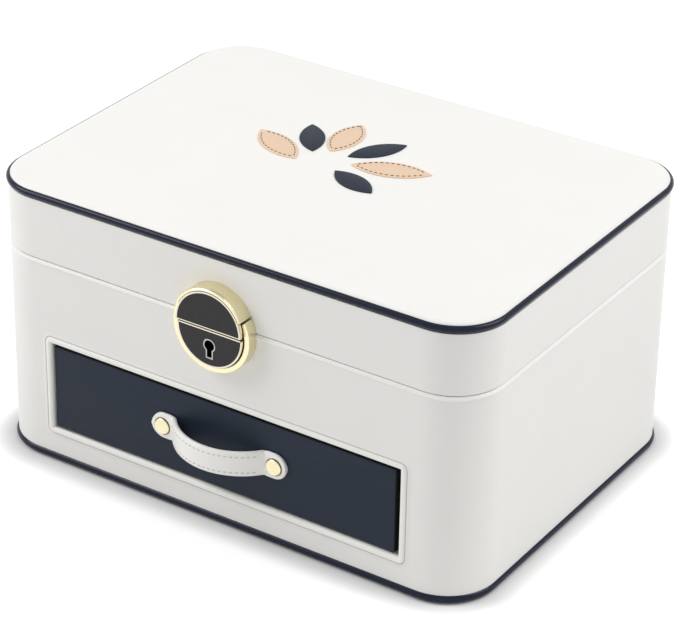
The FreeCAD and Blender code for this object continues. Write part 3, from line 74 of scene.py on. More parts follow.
def colour_property(name, description, code):
    return bpy.props.FloatVectorProperty(
        name=name, description=description, default=srgb(code), subtype="COLOR", size=3, min=0, max=1)


def length_property(name, description, millimetres):
    return bpy.props.FloatProperty(
        name=name, description=description, default=millimetres * MM, min=0, unit="LENGTH", precision=5)


# Settings
class FinishSettings(bpy.types.PropertyGroup):
    """Colours and surface of the box's materials"""

    cream: colour_property("Cream leather", "Leather of the walls", "EEEDEA")
    top: colour_property("Top leather", "Smooth leather of the padded top", "F6F5F2")
    binding: colour_property(
        "Binding leather", "Smoother, whiter leather of the bead and the strap", "F5F4F0")
    # Painted shade: the crease colour darkens the fold beside the bead, where shade falls
    crease_shade: colour_property("Crease", "Shaded fold beside the rolled bead", "BDBAB3")
    # Painted shade: this black on the drawer front's turned edges also stands for the shade in the gap round
    # the drawer
    edge_paint_and_gap_shade: colour_property(
        "Edge paint", "Black paint on the turned edges of the drawer's front", "101114")
    navy: colour_property("Navy leather", "Leather of the drawer's front", "1C2635")
    piping: colour_property("Navy piping", "Glossier leather of the piping", "0C152C")
    nude: colour_property("Nude leather", "Leather of the light leaves on the top", "EBCDB0")
    thread: colour_property("Light thread", "Thread of the strap's seams", "C9C6BF")
    dark_thread: colour_property("Dark thread", "Thread round the leaves", "4A4644")
    gold: colour_property("Pale gold", "Plated metal of the lock, the rivets and the hinges", "EEE4BE")
    # Painted shade: this dark metal fills the lock's gaps and rings the rivet heads where shadow falls
    gap_shade_brass: colour_property("Dark brass", "Unpolished metal in the gaps of the lock", "75694A")
    keyhole: colour_property("Keyhole metal", "Grey metal round the keyhole", "B4B2AE")
    pale_rim: colour_property("Pale rim", "Polished borders round the enamel and the keyhole", "DAD3C4")
    enamel: colour_property("Black enamel", "Inlays of the lock", "1B1B1D")
    velvet: colour_property("Velvet", "Linings, dividers and ring rolls", "CFC2B2")
    board: colour_property("Fibreboard", "Raw board of the carcass", "B79B78")
    felt: colour_property("Felt", "Sheet under the base and the drawer's bumpers", "2A2B2E")
    grain: length_property("Leather grain", "Width of one pebble of the leather's grain", 0.9)
    grain_depth: length_property("Grain depth", "Height of the leather's grain", 0.03)
    pile: length_property("Velvet pile", "Width of one tuft of the velvet", 0.35)


class SewingSettings(bpy.types.PropertyGroup):
    """Stitches of the strap and the leaves"""

    stitch: length_property("Stitch", "Length of one stitch", 1.7)
    gap: length_property("Gap", "Distance between two stitches", 0.9)
    thread: length_property("Thread", "Thickness of the thread", 0.5)
    strap_margin: length_property("Strap margin", "From the strap's edge to its seam", 2.5)
    leaf_margin: length_property("Leaf margin", "From a leaf's edge to its seam", 1.5)


class FormSettings(bpy.types.PropertyGroup):
    """Softness and small forms of the pieces"""

    top_crown: length_property("Top crown", "How far the padded top rises in its middle", 0.35)
    top_round: length_property("Top edge", "Radius of the padded top's edge", 2.2)
    top_overlap: length_property("Top overlap", "How far the top's leather lies over its piping", 2.05)
    top_piping: length_property("Top piping", "Thickness of the piping round the lid's top", 3.4)
    bottom_piping: length_property("Bottom piping", "Thickness of the piping round the bottom", 3.9)
    hem: length_property("Hem", "Height of the turned hem along the case's rim", 1.9)
    back_lap: length_property("Back lap", "Width of the wall leather's lap at the back", 14.0)
    trim_bead: length_property("Trim bead", "Width of the rolled bead round the opening", 3.2)
    front_round: length_property("Drawer edge", "Radius of the drawer front's soft edges", 2.2)
    strap: length_property("Strap", "Thickness of the strap's padded middle", 2.6)
    strap_tab: length_property("Strap tab", "Thickness of the strap's flat ends", 2.0)
    strap_reach: length_property("Strap reach", "From the strap's middle to its round ends", 36.5)
    strap_rise: length_property("Strap rise", "From the strap's middle to where its bow begins", 25.4)
    strap_bend: length_property("Strap bend", "Radius of the bends beside the tabs", 2.2)
    rivet: length_property("Rivet head", "Radius of a rivet's head", 3.9)
    lip: length_property("Metal lip", "Rounding of the lock's polished edges", 0.45)
    border: length_property("Inlay border", "Width of the pale border round the inlays", 0.8)
    key_rim: length_property("Keyhole rim", "Width of the keyhole's outline", 0.6)
    lining_round: length_property("Lining round", "Radius of the linings' rims", 0.6)
    pad_mesh: length_property("Pad mesh", "Width of one face of a pad while it is filled", 2.0)
    pad_cap: length_property("Pad cap", "How far filling may move a point of a pad", 1.8)
    pad_pressure: bpy.props.FloatProperty(
        name="Pad pressure", description="Air pressure that fills a pad", default=120.0, min=0)
    leaf_pillow: length_property("Leaf height", "Thickness of the applied leather", 0.7)


class StageSettings(bpy.types.PropertyGroup):
    """Camera, floor and lamps"""

    azimuth: bpy.props.FloatProperty(
        name="Azimuth", description="Camera's turn from the front towards the right",
        default=math.radians(33.0466), subtype="ANGLE")
    elevation: bpy.props.FloatProperty(
        name="Elevation", description="Camera's angle above the floor",
        default=math.radians(29.0327), subtype="ANGLE")
    roll: bpy.props.FloatProperty(
        name="Roll", description="Camera's turn about its own line of sight",
        default=math.radians(0.9971), subtype="ANGLE")
    place: bpy.props.FloatVectorProperty(
        name="Camera", description="Camera's place", default=(0.63497, -0.97448, 0.71242),
        size=3, subtype="TRANSLATION", unit="LENGTH")
    lens: bpy.props.FloatProperty(
        name="Lens", description="Focal length on a 36 mm sensor", default=151.66, unit="CAMERA")
    sky: bpy.props.FloatProperty(
        name="Studio light", description="Even light from all round", default=0.50, min=0)
    key: bpy.props.FloatProperty(
        name="Right lamp", description="Large soft lamp above the right side and the back",
        default=9.8, min=0, unit="POWER")
    fill: bpy.props.FloatProperty(
        name="Left lamp", description="Soft lamp above the left side", default=8.6, min=0, unit="POWER")
    floor_shade: bpy.props.FloatProperty(
        name="Floor shade", description="How strongly the floor shows its shadows", default=0.95,
        min=0, max=1)
    # Painted shadow: this glow is left out near the box, which darkens a band round it as a contact shadow
    glow_past_painted_shadow: bpy.props.FloatProperty(
        name="Floor glow", description="White added to the floor away from the box", default=0.36, min=0)
    floor: colour_property("Floor", "Colour of the pale floor", "FBFBFB")


def finish_settings():
    return bpy.context.scene.box_finish


def form_settings():
    return bpy.context.scene.box_form


def sewing_settings():
    return bpy.context.scene.box_sewing


# Shader nodes
def add_node(tree, kind, settings=None, **sockets):
    """Add one node: its options, then its sockets by name, each a value or another node's output."""
    node = tree.nodes.new(kind)
    for name, value in (settings or {}).items():
        setattr(node, name, value)
    for name, value in sockets.items():
        socket = node.inputs[int(name[1:])] if name[0] == "_" else node.inputs[name.replace("_", " ")]
        if isinstance(value, bpy.types.NodeSocket):
            tree.links.new(value, socket)
        else:
            socket.default_value = value
    return node


def new_material(name):
    """An empty material, its node tree, and the object's own place in millimetres."""
    material = bpy.data.materials.new(name)
    material.use_nodes = True
    tree = material.node_tree
    tree.nodes.clear()
    place = add_node(tree, "ShaderNodeTexCoord").outputs["Object"]
    scaled = add_node(tree, "ShaderNodeMapping", Vector=place, Scale=(1 / MM, 1 / MM, 1 / MM))
    return material, tree, scaled.outputs["Vector"]


def shades(colour, depth):
    """The two ends of a colour mix: the colour made darker and lighter by a share."""
    dark = tuple(channel * (1 - depth) for channel in colour) + (1,)
    light = tuple(min(1, channel * (1 + depth)) for channel in colour) + (1,)
    return {"_6": dark, "_7": light}


def leather(name, colour, roughness, depth=0.03, grain_share=1.0, gloss=0.4):
    """Calf leather, embossed and sealed: a satin face with softly broken highlights."""
    # Real pebbles are too fine to show, so they are drawn coarser, as wide as the grain setting says. Pores
    # are drawn 0.25 mm wide, and the colour and the gloss drift over about 38 mm.
    settings = finish_settings()
    material, tree, place = new_material(name)
    grain = settings.grain / MM
    drift = add_node(tree, "ShaderNodeTexNoise", Vector=place, Scale=1 / (3 * grain)).outputs["Color"]
    bent = add_node(tree, "ShaderNodeVectorMath", {"operation": "MULTIPLY_ADD"}, _0=drift,
                    _1=(grain, grain, grain), _2=place).outputs[0]
    cells = add_node(tree, "ShaderNodeTexVoronoi", {"feature": "DISTANCE_TO_EDGE"}, Vector=bent,
                     Scale=1 / grain).outputs["Distance"]
    pebbles = add_node(tree, "ShaderNodeMapRange", Value=cells, To_Min=0.0, To_Max=2.2).outputs["Result"]
    pores = add_node(tree, "ShaderNodeTexNoise", Vector=place, Scale=1 / 0.25, Detail=2.0).outputs["Fac"]
    hide = add_node(tree, "ShaderNodeTexNoise", Vector=place, Scale=1 / 38.0, Detail=4.0).outputs["Fac"]
    height = add_node(tree, "ShaderNodeMix", {"data_type": "FLOAT"}, Factor=0.35, _2=pebbles, _3=pores)
    stain = add_node(tree, "ShaderNodeMix", {"data_type": "FLOAT"}, Factor=0.3, _2=hide, _3=pores)
    seal = add_node(tree, "ShaderNodeMix", {"data_type": "FLOAT"}, Factor=0.4, _2=hide, _3=pebbles)
    dyed = add_node(tree, "ShaderNodeMix", {"data_type": "RGBA"}, Factor=stain.outputs[0],
                    **shades(colour, depth))
    satin = add_node(tree, "ShaderNodeMapRange", Value=seal.outputs[0], To_Min=roughness - 0.06,
                     To_Max=roughness + 0.08)
    bump = add_node(tree, "ShaderNodeBump", Strength=1.0, Distance=settings.grain_depth * grain_share,
                    Height=height.outputs[0])
    shader = add_node(tree, "ShaderNodeBsdfPrincipled", Base_Color=dyed.outputs[2],
                      Roughness=satin.outputs["Result"], Specular_IOR_Level=gloss,
                      Normal=bump.outputs["Normal"])
    add_node(tree, "ShaderNodeOutputMaterial", Surface=shader.outputs["BSDF"])
    return material


def velvet(name, colour):
    """Velvet, woven with a short pile that is cut level: brushed patches, and a sheen at grazing angles."""
    # Real tufts are too fine to show, so they are drawn coarser, as wide as the pile setting says. The
    # brushed patches are about 22 mm wide.
    material, tree, place = new_material(name)
    pile = finish_settings().pile / MM
    tufts = add_node(tree, "ShaderNodeTexNoise", Vector=place, Scale=1 / pile, Detail=4.0,
                     Roughness=0.7).outputs["Fac"]
    brushed = add_node(tree, "ShaderNodeTexNoise", Vector=place, Scale=1 / 22.0, Detail=3.0).outputs["Fac"]
    nap = add_node(tree, "ShaderNodeMix", {"data_type": "FLOAT"}, Factor=0.4, _2=brushed, _3=tufts)
    dyed = add_node(tree, "ShaderNodeMix", {"data_type": "RGBA"}, Factor=nap.outputs[0],
                    **shades(colour, 0.14))
    bump = add_node(tree, "ShaderNodeBump", Strength=1.0, Distance=0.12 * MM, Height=tufts)
    shader = add_node(tree, "ShaderNodeBsdfPrincipled", Base_Color=dyed.outputs[2], Roughness=0.95,
                      Specular_IOR_Level=0.1, Sheen_Weight=0.6, Sheen_Roughness=0.4,
                      Sheen_Tint=(1.0, 0.97, 0.93, 1.0), Normal=bump.outputs["Normal"])
    add_node(tree, "ShaderNodeOutputMaterial", Surface=shader.outputs["BSDF"])
    return material


def polished_metal(name, colour, roughness, brushing=0.04):
    """Plated and buffed metal: faint long marks in a clear gloss that changes slowly."""
    # Real buffing marks are too fine to show, so they are drawn 0.17 mm wide and 2.5 mm long. The gloss
    # changes over about 9 mm.
    material, tree, place = new_material(name)
    drawn = add_node(tree, "ShaderNodeMapping", Vector=place, Scale=(0.4, 6.0, 6.0)).outputs["Vector"]
    marks = add_node(tree, "ShaderNodeTexNoise", Vector=drawn, Scale=1.0, Detail=4.0).outputs["Fac"]
    plating = add_node(tree, "ShaderNodeTexNoise", Vector=place, Scale=1 / 9.0, Detail=3.0).outputs["Fac"]
    worn = add_node(tree, "ShaderNodeMix", {"data_type": "FLOAT"}, Factor=0.5, _2=marks, _3=plating)
    plated = add_node(tree, "ShaderNodeMix", {"data_type": "RGBA"}, Factor=plating, **shades(colour, 0.03))
    gloss = add_node(tree, "ShaderNodeMapRange", Value=worn.outputs[0], To_Min=roughness - brushing,
                     To_Max=roughness + brushing)
    bump = add_node(tree, "ShaderNodeBump", Strength=1.0, Distance=0.004 * MM, Height=marks)
    shader = add_node(tree, "ShaderNodeBsdfPrincipled", Base_Color=plated.outputs[2], Metallic=1.0,
                      Roughness=gloss.outputs["Result"], Normal=bump.outputs["Normal"])
    add_node(tree, "ShaderNodeOutputMaterial", Surface=shader.outputs["BSDF"])
    return material


def gloss_enamel(name, colour):
    """Enamel, poured and baked: nearly black and glossy, with a faint swell and specks of dust."""
    # The swell is about 7 mm wide. Real specks are too fine to show, so they are drawn 0.8 mm wide.
    material, tree, place = new_material(name)
    swelling = add_node(tree, "ShaderNodeTexNoise", Vector=place, Scale=1 / 7.0, Detail=3.0).outputs["Fac"]
    dust = add_node(tree, "ShaderNodeTexNoise", Vector=place, Scale=1 / 0.8, Detail=5.0).outputs["Fac"]
    poured = add_node(tree, "ShaderNodeMix", {"data_type": "RGBA"}, Factor=swelling, **shades(colour, 0.10))
    gloss = add_node(tree, "ShaderNodeMapRange", Value=dust, To_Min=0.16, To_Max=0.30)
    bump = add_node(tree, "ShaderNodeBump", Strength=1.0, Distance=0.02 * MM, Height=swelling)
    shader = add_node(tree, "ShaderNodeBsdfPrincipled", Base_Color=poured.outputs[2],
                      Roughness=gloss.outputs["Result"], Specular_IOR_Level=0.3,
                      Normal=bump.outputs["Normal"])
    add_node(tree, "ShaderNodeOutputMaterial", Surface=shader.outputs["BSDF"])
    return material


def fibreboard(name, colour):
    """Fibreboard, pressed from wood fibres: short pale strands over a brown ground, and no shine."""
    # Single fibres are too fine to show, so strands 0.7 mm wide and 2 mm long stand for them. Darker patches
    # are about 14 mm wide.
    material, tree, place = new_material(name)
    pressed = add_node(tree, "ShaderNodeMapping", Vector=place, Scale=(0.35, 1.0, 1.6)).outputs["Vector"]
    strands = add_node(tree, "ShaderNodeTexNoise", Vector=pressed, Scale=1 / 0.7, Detail=6.0,
                       Roughness=0.65).outputs["Fac"]
    patches = add_node(tree, "ShaderNodeTexNoise", Vector=place, Scale=1 / 14.0, Detail=3.0).outputs["Fac"]
    mat = add_node(tree, "ShaderNodeMix", {"data_type": "FLOAT"}, Factor=0.35, _2=strands, _3=patches)
    raw = add_node(tree, "ShaderNodeMix", {"data_type": "RGBA"}, Factor=mat.outputs[0],
                   **shades(colour, 0.22))
    bump = add_node(tree, "ShaderNodeBump", Strength=1.0, Distance=0.06 * MM, Height=strands)
    shader = add_node(tree, "ShaderNodeBsdfPrincipled", Base_Color=raw.outputs[2], Roughness=0.85,
                      Normal=bump.outputs["Normal"])
    add_node(tree, "ShaderNodeOutputMaterial", Surface=shader.outputs["BSDF"])
    return material


def pressed_felt(name, colour, depth=0.25):
    """Felt, matted and rolled from wool: fibres tangled at two scales, and no shine."""
    # Single fibres are too fine to show, so the tangle is drawn 0.5 mm wide, in clumps of about 3 mm.
    material, tree, place = new_material(name)
    tangle = add_node(tree, "ShaderNodeTexNoise", Vector=place, Scale=1 / 0.5, Detail=6.0,
                      Roughness=0.75).outputs["Fac"]
    clumps = add_node(tree, "ShaderNodeTexNoise", Vector=place, Scale=1 / 3.0, Detail=4.0).outputs["Fac"]
    mat = add_node(tree, "ShaderNodeMix", {"data_type": "FLOAT"}, Factor=0.4, _2=tangle, _3=clumps)
    dyed = add_node(tree, "ShaderNodeMix", {"data_type": "RGBA"}, Factor=mat.outputs[0],
                    **shades(colour, depth))
    bump = add_node(tree, "ShaderNodeBump", Strength=1.0, Distance=0.15 * MM, Height=tangle)
    shader = add_node(tree, "ShaderNodeBsdfPrincipled", Base_Color=dyed.outputs[2], Roughness=1.0,
                      Sheen_Weight=0.25, Normal=bump.outputs["Normal"])
    add_node(tree, "ShaderNodeOutputMaterial", Surface=shader.outputs["BSDF"])
    return material


def silvered_glass(name):
    """Float glass, silvered on its back: a clear reflection with the faintest haze."""
    # The haze drifts over about 25 mm.
    material, tree, place = new_material(name)
    haze = add_node(tree, "ShaderNodeTexNoise", Vector=place, Scale=1 / 25.0, Detail=3.0).outputs["Fac"]
    silver = add_node(tree, "ShaderNodeMix", {"data_type": "RGBA"}, Factor=haze,
                      **shades(srgb("F4F7F7"), 0.01))
    wiped = add_node(tree, "ShaderNodeMapRange", Value=haze, To_Min=0.01, To_Max=0.035)
    shader = add_node(tree, "ShaderNodeBsdfPrincipled", Base_Color=silver.outputs[2], Metallic=1.0,
                      Roughness=wiped.outputs["Result"], Coat_Weight=1.0, Coat_Roughness=0.01)
    add_node(tree, "ShaderNodeOutputMaterial", Surface=shader.outputs["BSDF"])
    return material


def twisted_thread(name, colour):
    """Sewing thread, spun and twisted: plies that are seen as fine slanted bands."""
    # The real twist is too fine to show, so its bands are drawn about 0.6 mm apart.
    material, tree, place = new_material(name)
    plies = add_node(tree, "ShaderNodeTexWave", {"bands_direction": "DIAGONAL"}, Vector=place, Scale=0.6,
                     Distortion=0.6).outputs["Fac"]
    dyed = add_node(tree, "ShaderNodeMix", {"data_type": "RGBA"}, Factor=plies, **shades(colour, 0.18))
    bump = add_node(tree, "ShaderNodeBump", Strength=1.0, Distance=0.03 * MM, Height=plies)
    shader = add_node(tree, "ShaderNodeBsdfPrincipled", Base_Color=dyed.outputs[2], Roughness=0.7,
                      Normal=bump.outputs["Normal"])
    add_node(tree, "ShaderNodeOutputMaterial", Surface=shader.outputs["BSDF"])
    return material


MATERIALS = {}


class BOX_OT_finishes(bpy.types.Operator):
    """Make the box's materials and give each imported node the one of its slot"""

    bl_idname = "box.finishes"
    bl_label = "Finishes"

    def execute(self, context):
        finish = finish_settings()
        MATERIALS.update({
            # Embossed calf leather: satin, and broken softly by its grain
            "cream_leather": leather("cream_leather", finish.cream, 0.46),
            # Embossed calf leather in a deep dye: its grain shows more and its shine less
            "navy_leather": leather(
                "navy_leather", finish.navy, 0.5, depth=0.10, grain_share=1.2, gloss=0.22),
            # Glazed binding leather: narrow bright lines along the roll
            "navy_piping": leather(
                "navy_piping", finish.piping, 0.17, depth=0.12, grain_share=0.6, gloss=0.24),
            # Calf leather stretched over padding: an even, slightly smoother sheen. The hem is drawn in it
            # too, lighter than the wall's leather it is turned from: a painted highlight along the rim
            "top_leather": leather("top_leather", finish.top, 0.42),
            # Edge paint brushed on turned leather: flat black, nearly without grain. On the drawer front's
            # turned edges it also paints the shade in the gap round the drawer
            "edge_paint_and_gap_shade": leather(
                "edge_paint_and_gap_shade", finish.edge_paint_and_gap_shade, 0.6, depth=0.1, grain_share=0.4, gloss=0.15),
            # Binding leather pressed smooth: whiter, with a wider highlight
            "binding": leather("binding_leather", finish.binding, 0.36, grain_share=0.8, gloss=0.6),
            # Painted shade: cream leather darkened for the shade in the crease beside the bead, and dull
            "crease_shade": leather("painted_crease_shade_leather", finish.crease_shade, 0.6, depth=0.12),
            # Calf leather dyed nude: warm and satin
            "nude_leather": leather("nude_leather", finish.nude, 0.5, depth=0.05),
            # Raw pressed fibreboard: brown, with short pale strands
            "board": fibreboard("fibreboard", finish.board),
            # Pressed wool felt: dark, and without shine
            "felt": pressed_felt("pressed_felt", finish.felt),
            # Cut open-cell foam: pale, and fine all over
            "foam": pressed_felt("open_foam", srgb("E3DFD0"), depth=0.08),
            # Woven velvet: brushed patches and a pale sheen
            "velvet": velvet("velvet", finish.velvet),
            # Silvered float glass: a clear reflection
            "mirror": silvered_glass("silvered_glass"),
            # Zinc castings with a pale gold plate, buffed: soft bright reflections
            "gold": polished_metal("pale_gold_plate", finish.gold, roughness=0.24),
            # Dull dark brass as painted shade: in the lock's gaps, on the floor and the core that lie in
            # shadow, and in the rings under the rivet heads
            "gap_shade_brass": polished_metal("gap_shade_brass", finish.gap_shade_brass, roughness=0.4, brushing=0.08),
            # Nickel plate, buffed: grey, and less bright than the gold
            "keyhole_metal": polished_metal("nickel_plate", finish.keyhole, roughness=0.25),
            # Poured enamel: black and glossy
            "enamel": gloss_enamel("black_enamel", finish.enamel),
            # Steel with a zinc plate, left unbuffed: grey, with an uneven gloss
            "steel": polished_metal("zinc_plate", srgb("B9BBBD"), roughness=0.3, brushing=0.08),
            # Pale gold plate buffed to a high gloss on the borders: sharp pale lines
            "pale_rim": polished_metal("buffed_pale_plate", finish.pale_rim, roughness=0.14),
            # Blackened steel, nearly black, with a low gloss: in the keyhole it is painted shade for the dark
            # inside of the lock
            "black_steel_and_keyhole_shade": polished_metal(
                "blackened_steel_keyhole_shade", srgb("17171A"), roughness=0.45, brushing=0.08),
            # Spun sewing thread: matt, with fine slanted bands
            "thread": twisted_thread("light_thread", finish.thread),
            "dark_thread": twisted_thread("dark_thread", finish.dark_thread),
        })
        for part in frame["record"]["subparts"]:
            mesh = frame["nodes"][part["node"]].data
            mesh.materials.clear()
            mesh.materials.append(MATERIALS[part["material_slot"]])
        # The key cylinder behind the keyhole is drawn black: painted shade for the inside of the lock
        cylinder = frame["nodes"]["key_cylinder"].data
        cylinder.materials.clear()
        cylinder.materials.append(MATERIALS["black_steel_and_keyhole_shade"])
        return {"FINISHED"}


# Mesh tools
def verts_in(geometry):
    return [item for item in geometry if isinstance(item, bmesh.types.BMVert)]


def edges_in(geometry):
    return [item for item in geometry if isinstance(item, bmesh.types.BMEdge)]


def faces_in(geometry):
    return [item for item in geometry if isinstance(item, bmesh.types.BMFace)]


def close_holes(bm):
    bmesh.ops.holes_fill(bm, edges=[edge for edge in bm.edges if edge.is_boundary], sides=0)


def weld(bm):
    bmesh.ops.remove_doubles(bm, verts=bm.verts[:], dist=1e-6)


def soften(bm, edges, width, segments=3):
    """Round a list of edges."""
    bmesh.ops.bevel(
        bm, geom=edges, offset=width, offset_type="OFFSET", segments=segments, profile=0.5,
        affect="EDGES", clamp_overlap=True, material=-1)


def sharp_edges(bm, angle=40):
    """The edges whose two faces meet at more than an angle in degrees."""
    limit = math.radians(angle)
    return [edge for edge in bm.edges if len(edge.link_faces) == 2 and edge.calc_face_angle() > limit]


def round_corners(bm, verts, radius, segments):
    bmesh.ops.bevel(
        bm, geom=verts, offset=radius, offset_type="OFFSET", segments=segments, profile=0.5,
        affect="VERTICES", clamp_overlap=True, material=-1)


def level_face(bm, low, high, height, radius=0.0, segments=10):
    """A level rectangle with round corners, as the only face of a fresh bmesh."""
    made = bmesh.ops.create_grid(bm, x_segments=1, y_segments=1, size=0.5)["verts"]
    bmesh.ops.scale(bm, verts=made, vec=(high[0] - low[0], high[1] - low[1], 1))
    middle = ((high[0] + low[0]) / 2, (high[1] + low[1]) / 2, height)
    bmesh.ops.translate(bm, verts=made, vec=middle)
    if radius:
        round_corners(bm, made, radius, segments)
    bm.faces.ensure_lookup_table()
    return bm.faces[0]


def pull(bm, face, step, shrink=None):
    """Extrude one face, move it and shrink it about its middle; a face inside a form leaves no copy."""
    inside = all(len(edge.link_faces) > 1 for edge in face.edges)
    made = bmesh.ops.extrude_face_region(bm, geom=[face])["geom"]
    if inside:
        bmesh.ops.delete(bm, geom=[face], context="FACES_ONLY")
    verts = verts_in(made)
    bmesh.ops.translate(bm, verts=verts, vec=step)
    if shrink:
        low = Vector([min(vert.co[axis] for vert in verts) for axis in range(3)])
        high = Vector([max(vert.co[axis] for vert in verts) for axis in range(3)])
        bmesh.ops.scale(bm, verts=verts, vec=shrink, space=Matrix.Translation(-(low + high) / 2))
    return faces_in(made)[0]


def inset(bm, face, width):
    bmesh.ops.inset_region(bm, faces=[face], thickness=width, depth=0.0, use_even_offset=True)


def add_block(bm, low, high, rounding=0.0):
    """A block with softened edges, added to a bmesh that may hold other forms."""
    part = bmesh.new()
    made = bmesh.ops.create_cube(part, size=1.0)["verts"]
    low, high = Vector(low), Vector(high)
    bmesh.ops.scale(part, verts=made, vec=high - low)
    bmesh.ops.translate(part, verts=made, vec=(low + high) / 2)
    if rounding:
        soften(part, part.edges[:], rounding, 2)
    add_part(bm, part)


def add_part(bm, part):
    """Move one bmesh's form into another."""
    holder = bpy.data.meshes.new("holder")
    part.to_mesh(holder)
    part.free()
    bm.from_mesh(holder)
    bpy.data.meshes.remove(holder)


def sweep(bm, edges, stations):
    """Extrude a section from place to place; each station is the matrix that sets the section there."""
    verts = list({vert for edge in edges for vert in edge.verts})
    bmesh.ops.transform(bm, matrix=stations[0], verts=verts)
    last = stations[0]
    for station in stations[1:]:
        made = bmesh.ops.extrude_edge_only(bm, edges=edges)["geom"]
        verts = verts_in(made)
        fresh = set(verts)
        edges = [edge for edge in edges_in(made) if fresh.issuperset(edge.verts)]
        bmesh.ops.transform(bm, matrix=station @ last.inverted(), verts=verts)
        last = station
    return edges


def section_edges(bm):
    """The rim of the flat form in a fresh bmesh, with all else taken away."""
    inner = [edge for edge in bm.edges if not edge.is_boundary]
    bmesh.ops.delete(bm, geom=inner, context="EDGES")
    bmesh.ops.delete(bm, geom=bm.faces[:], context="FACES_ONLY")
    return bm.edges[:]


def round_track(half_x, half_y, radius, height, steps, base=None, middle=(0, 0), open_at_back=False):
    """Stations round a rectangle with round corners: local x points outwards and z up."""
    stations = []
    base = base or Matrix.Identity(4)
    corners = ((-1, 1, 90), (-1, -1, 180), (1, -1, 270), (1, 1, 0))
    for side_x, side_y, first in corners:
        corner = Vector((
            middle[0] + side_x * (half_x - radius), middle[1] + side_y * (half_y - radius), height))
        for step in range(steps + 1):
            turn = Matrix.Rotation(math.radians(first + 90 * step / steps), 4, "Z")
            stations.append(base @ Matrix.Translation(corner) @ turn @ Matrix.Translation((radius, 0, 0)))
    return stations if open_at_back else stations + stations[:1]


def section_loop(bm, points):
    """A closed section drawn through a few points of the x-z plane."""
    verts = [bm.verts.new((x, 0, z)) for x, z in points]
    return [bm.edges.new(pair) for pair in zip(verts, verts[1:] + verts[:1])]


def lathe(bm, points, middle, steps=96, start=0.0, angle=360.0, closed=False):
    """Spin an outline of (radius, distance proud of the front wall) about a line that faces the front."""
    turn = Matrix.Rotation(-math.radians(start), 4, "Y")
    verts = []
    for radius, proud in points:
        place = turn @ Vector((radius, 0, 0))
        verts.append(bm.verts.new(place + Vector((middle[0], FRONT - proud, middle[1]))))
    pairs = list(zip(verts, verts[1:] + (verts[:1] if closed else [])))
    edges = [bm.edges.new(pair) for pair in pairs]
    full = abs(angle - 360) < 0.01
    bmesh.ops.spin(
        bm, geom=verts + edges, cent=(middle[0], 0, middle[1]), axis=(0, 1, 0), dvec=(0, 0, 0),
        angle=math.radians(angle), steps=steps, use_merge=full, use_normal_flip=False,
        use_duplicate=False)
    weld(bm)


def keep_above(bm, height, above=True):
    """Cut the form at a height, keep one side and close the cut."""
    bmesh.ops.bisect_plane(
        bm, geom=bm.verts[:] + bm.edges[:] + bm.faces[:], dist=1e-7, plane_co=(0, 0, height),
        plane_no=(0, 0, 1), clear_outer=not above, clear_inner=above)
    close_holes(bm)


def piece(name, bm, slot, body, nodes=(), smooth=35, material=None):
    """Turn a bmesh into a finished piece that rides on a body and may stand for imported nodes."""
    bmesh.ops.recalc_face_normals(bm, faces=bm.faces[:])
    mesh = bpy.data.meshes.new(name)
    bm.to_mesh(mesh)
    bm.free()
    mesh.polygons.foreach_set("use_smooth", [True] * len(mesh.polygons))
    mesh.set_sharp_from_angle(angle=math.radians(smooth))
    mesh.materials.append(MATERIALS[material or slot])
    made = bpy.data.objects.new(name, mesh)
    bpy.context.scene.collection.objects.link(made)
    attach(made, body)
    if nodes:
        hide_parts(*nodes)
    return made


def helper(bm):
    """A short-lived object that holds a form while modifiers shape it."""
    bmesh.ops.recalc_face_normals(bm, faces=bm.faces[:])
    mesh = bpy.data.meshes.new("form")
    bm.to_mesh(mesh)
    bm.free()
    made = bpy.data.objects.new("form", mesh)
    bpy.context.scene.collection.objects.link(made)
    return made


def shaped(item):
    """A fresh bmesh of an object as its modifiers leave it."""
    bpy.context.view_layer.update()
    mesh = item.evaluated_get(bpy.context.evaluated_depsgraph_get()).to_mesh()
    made = bmesh.new()
    made.from_mesh(mesh)
    return made


def discard(item):
    mesh = item.data
    bpy.data.objects.remove(item)
    bpy.data.meshes.remove(mesh)


def carve(bm, tool):
    """Cut one form out of another; both are used up, and the shaped form comes back."""
    item, knife = helper(bm), helper(tool)
    cut = item.modifiers.new("cut", "BOOLEAN")
    cut.operation = "DIFFERENCE"
    cut.solver = "EXACT"
    cut.object = knife
    made = shaped(item)
    discard(item)
    discard(knife)
    return made


def swell(bm, foot, cap):
    """Fill a pad like cloth with air inside; its foot is held and no point moves further than the cap."""
    form = form_settings()
    item = helper(bm)
    remesh = item.modifiers.new("even mesh", "REMESH")
    remesh.mode = "VOXEL"
    remesh.voxel_size = form.pad_mesh
    even = shaped(item)
    start = [vert.co.copy() for vert in even.verts]
    even.to_mesh(item.data)
    even.free()
    item.modifiers.clear()
    scene = bpy.context.scene
    held = item.vertex_groups.new(name="held")
    held.add([number for number, place in enumerate(start) if place.z < foot], 1.0, "REPLACE")
    cloth = item.modifiers.new("filling", "CLOTH")
    cloth.settings.mass = CLOTH_MASS
    cloth.settings.use_pressure = True
    cloth.settings.uniform_pressure_force = form.pad_pressure
    cloth.settings.vertex_group_mass = "held"
    cloth.settings.effector_weights.gravity = 0
    cloth.point_cache.frame_start = 1
    cloth.point_cache.frame_end = FILLING_FRAMES
    for number in range(1, FILLING_FRAMES + 1):
        scene.frame_set(number)
    made = shaped(item)
    for vert, place in zip(made.verts, start):
        move = vert.co - place
        if move.length > cap:
            move.length = cap
        vert.co = place + move
    scene.frame_set(1)
    discard(item)
    return made


def block(low, high):
    """A plain block in a fresh bmesh."""
    bm = bmesh.new()
    add_block(bm, low, high)
    return bm


# Sizes that several pieces share
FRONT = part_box("case_cover")[0].y
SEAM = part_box("lid_cover")[0].z
WALL_CORNER = 25 * MM
LINING_CORNER = 19.2 * MM
ROOM_CORNER = 17.7 * MM


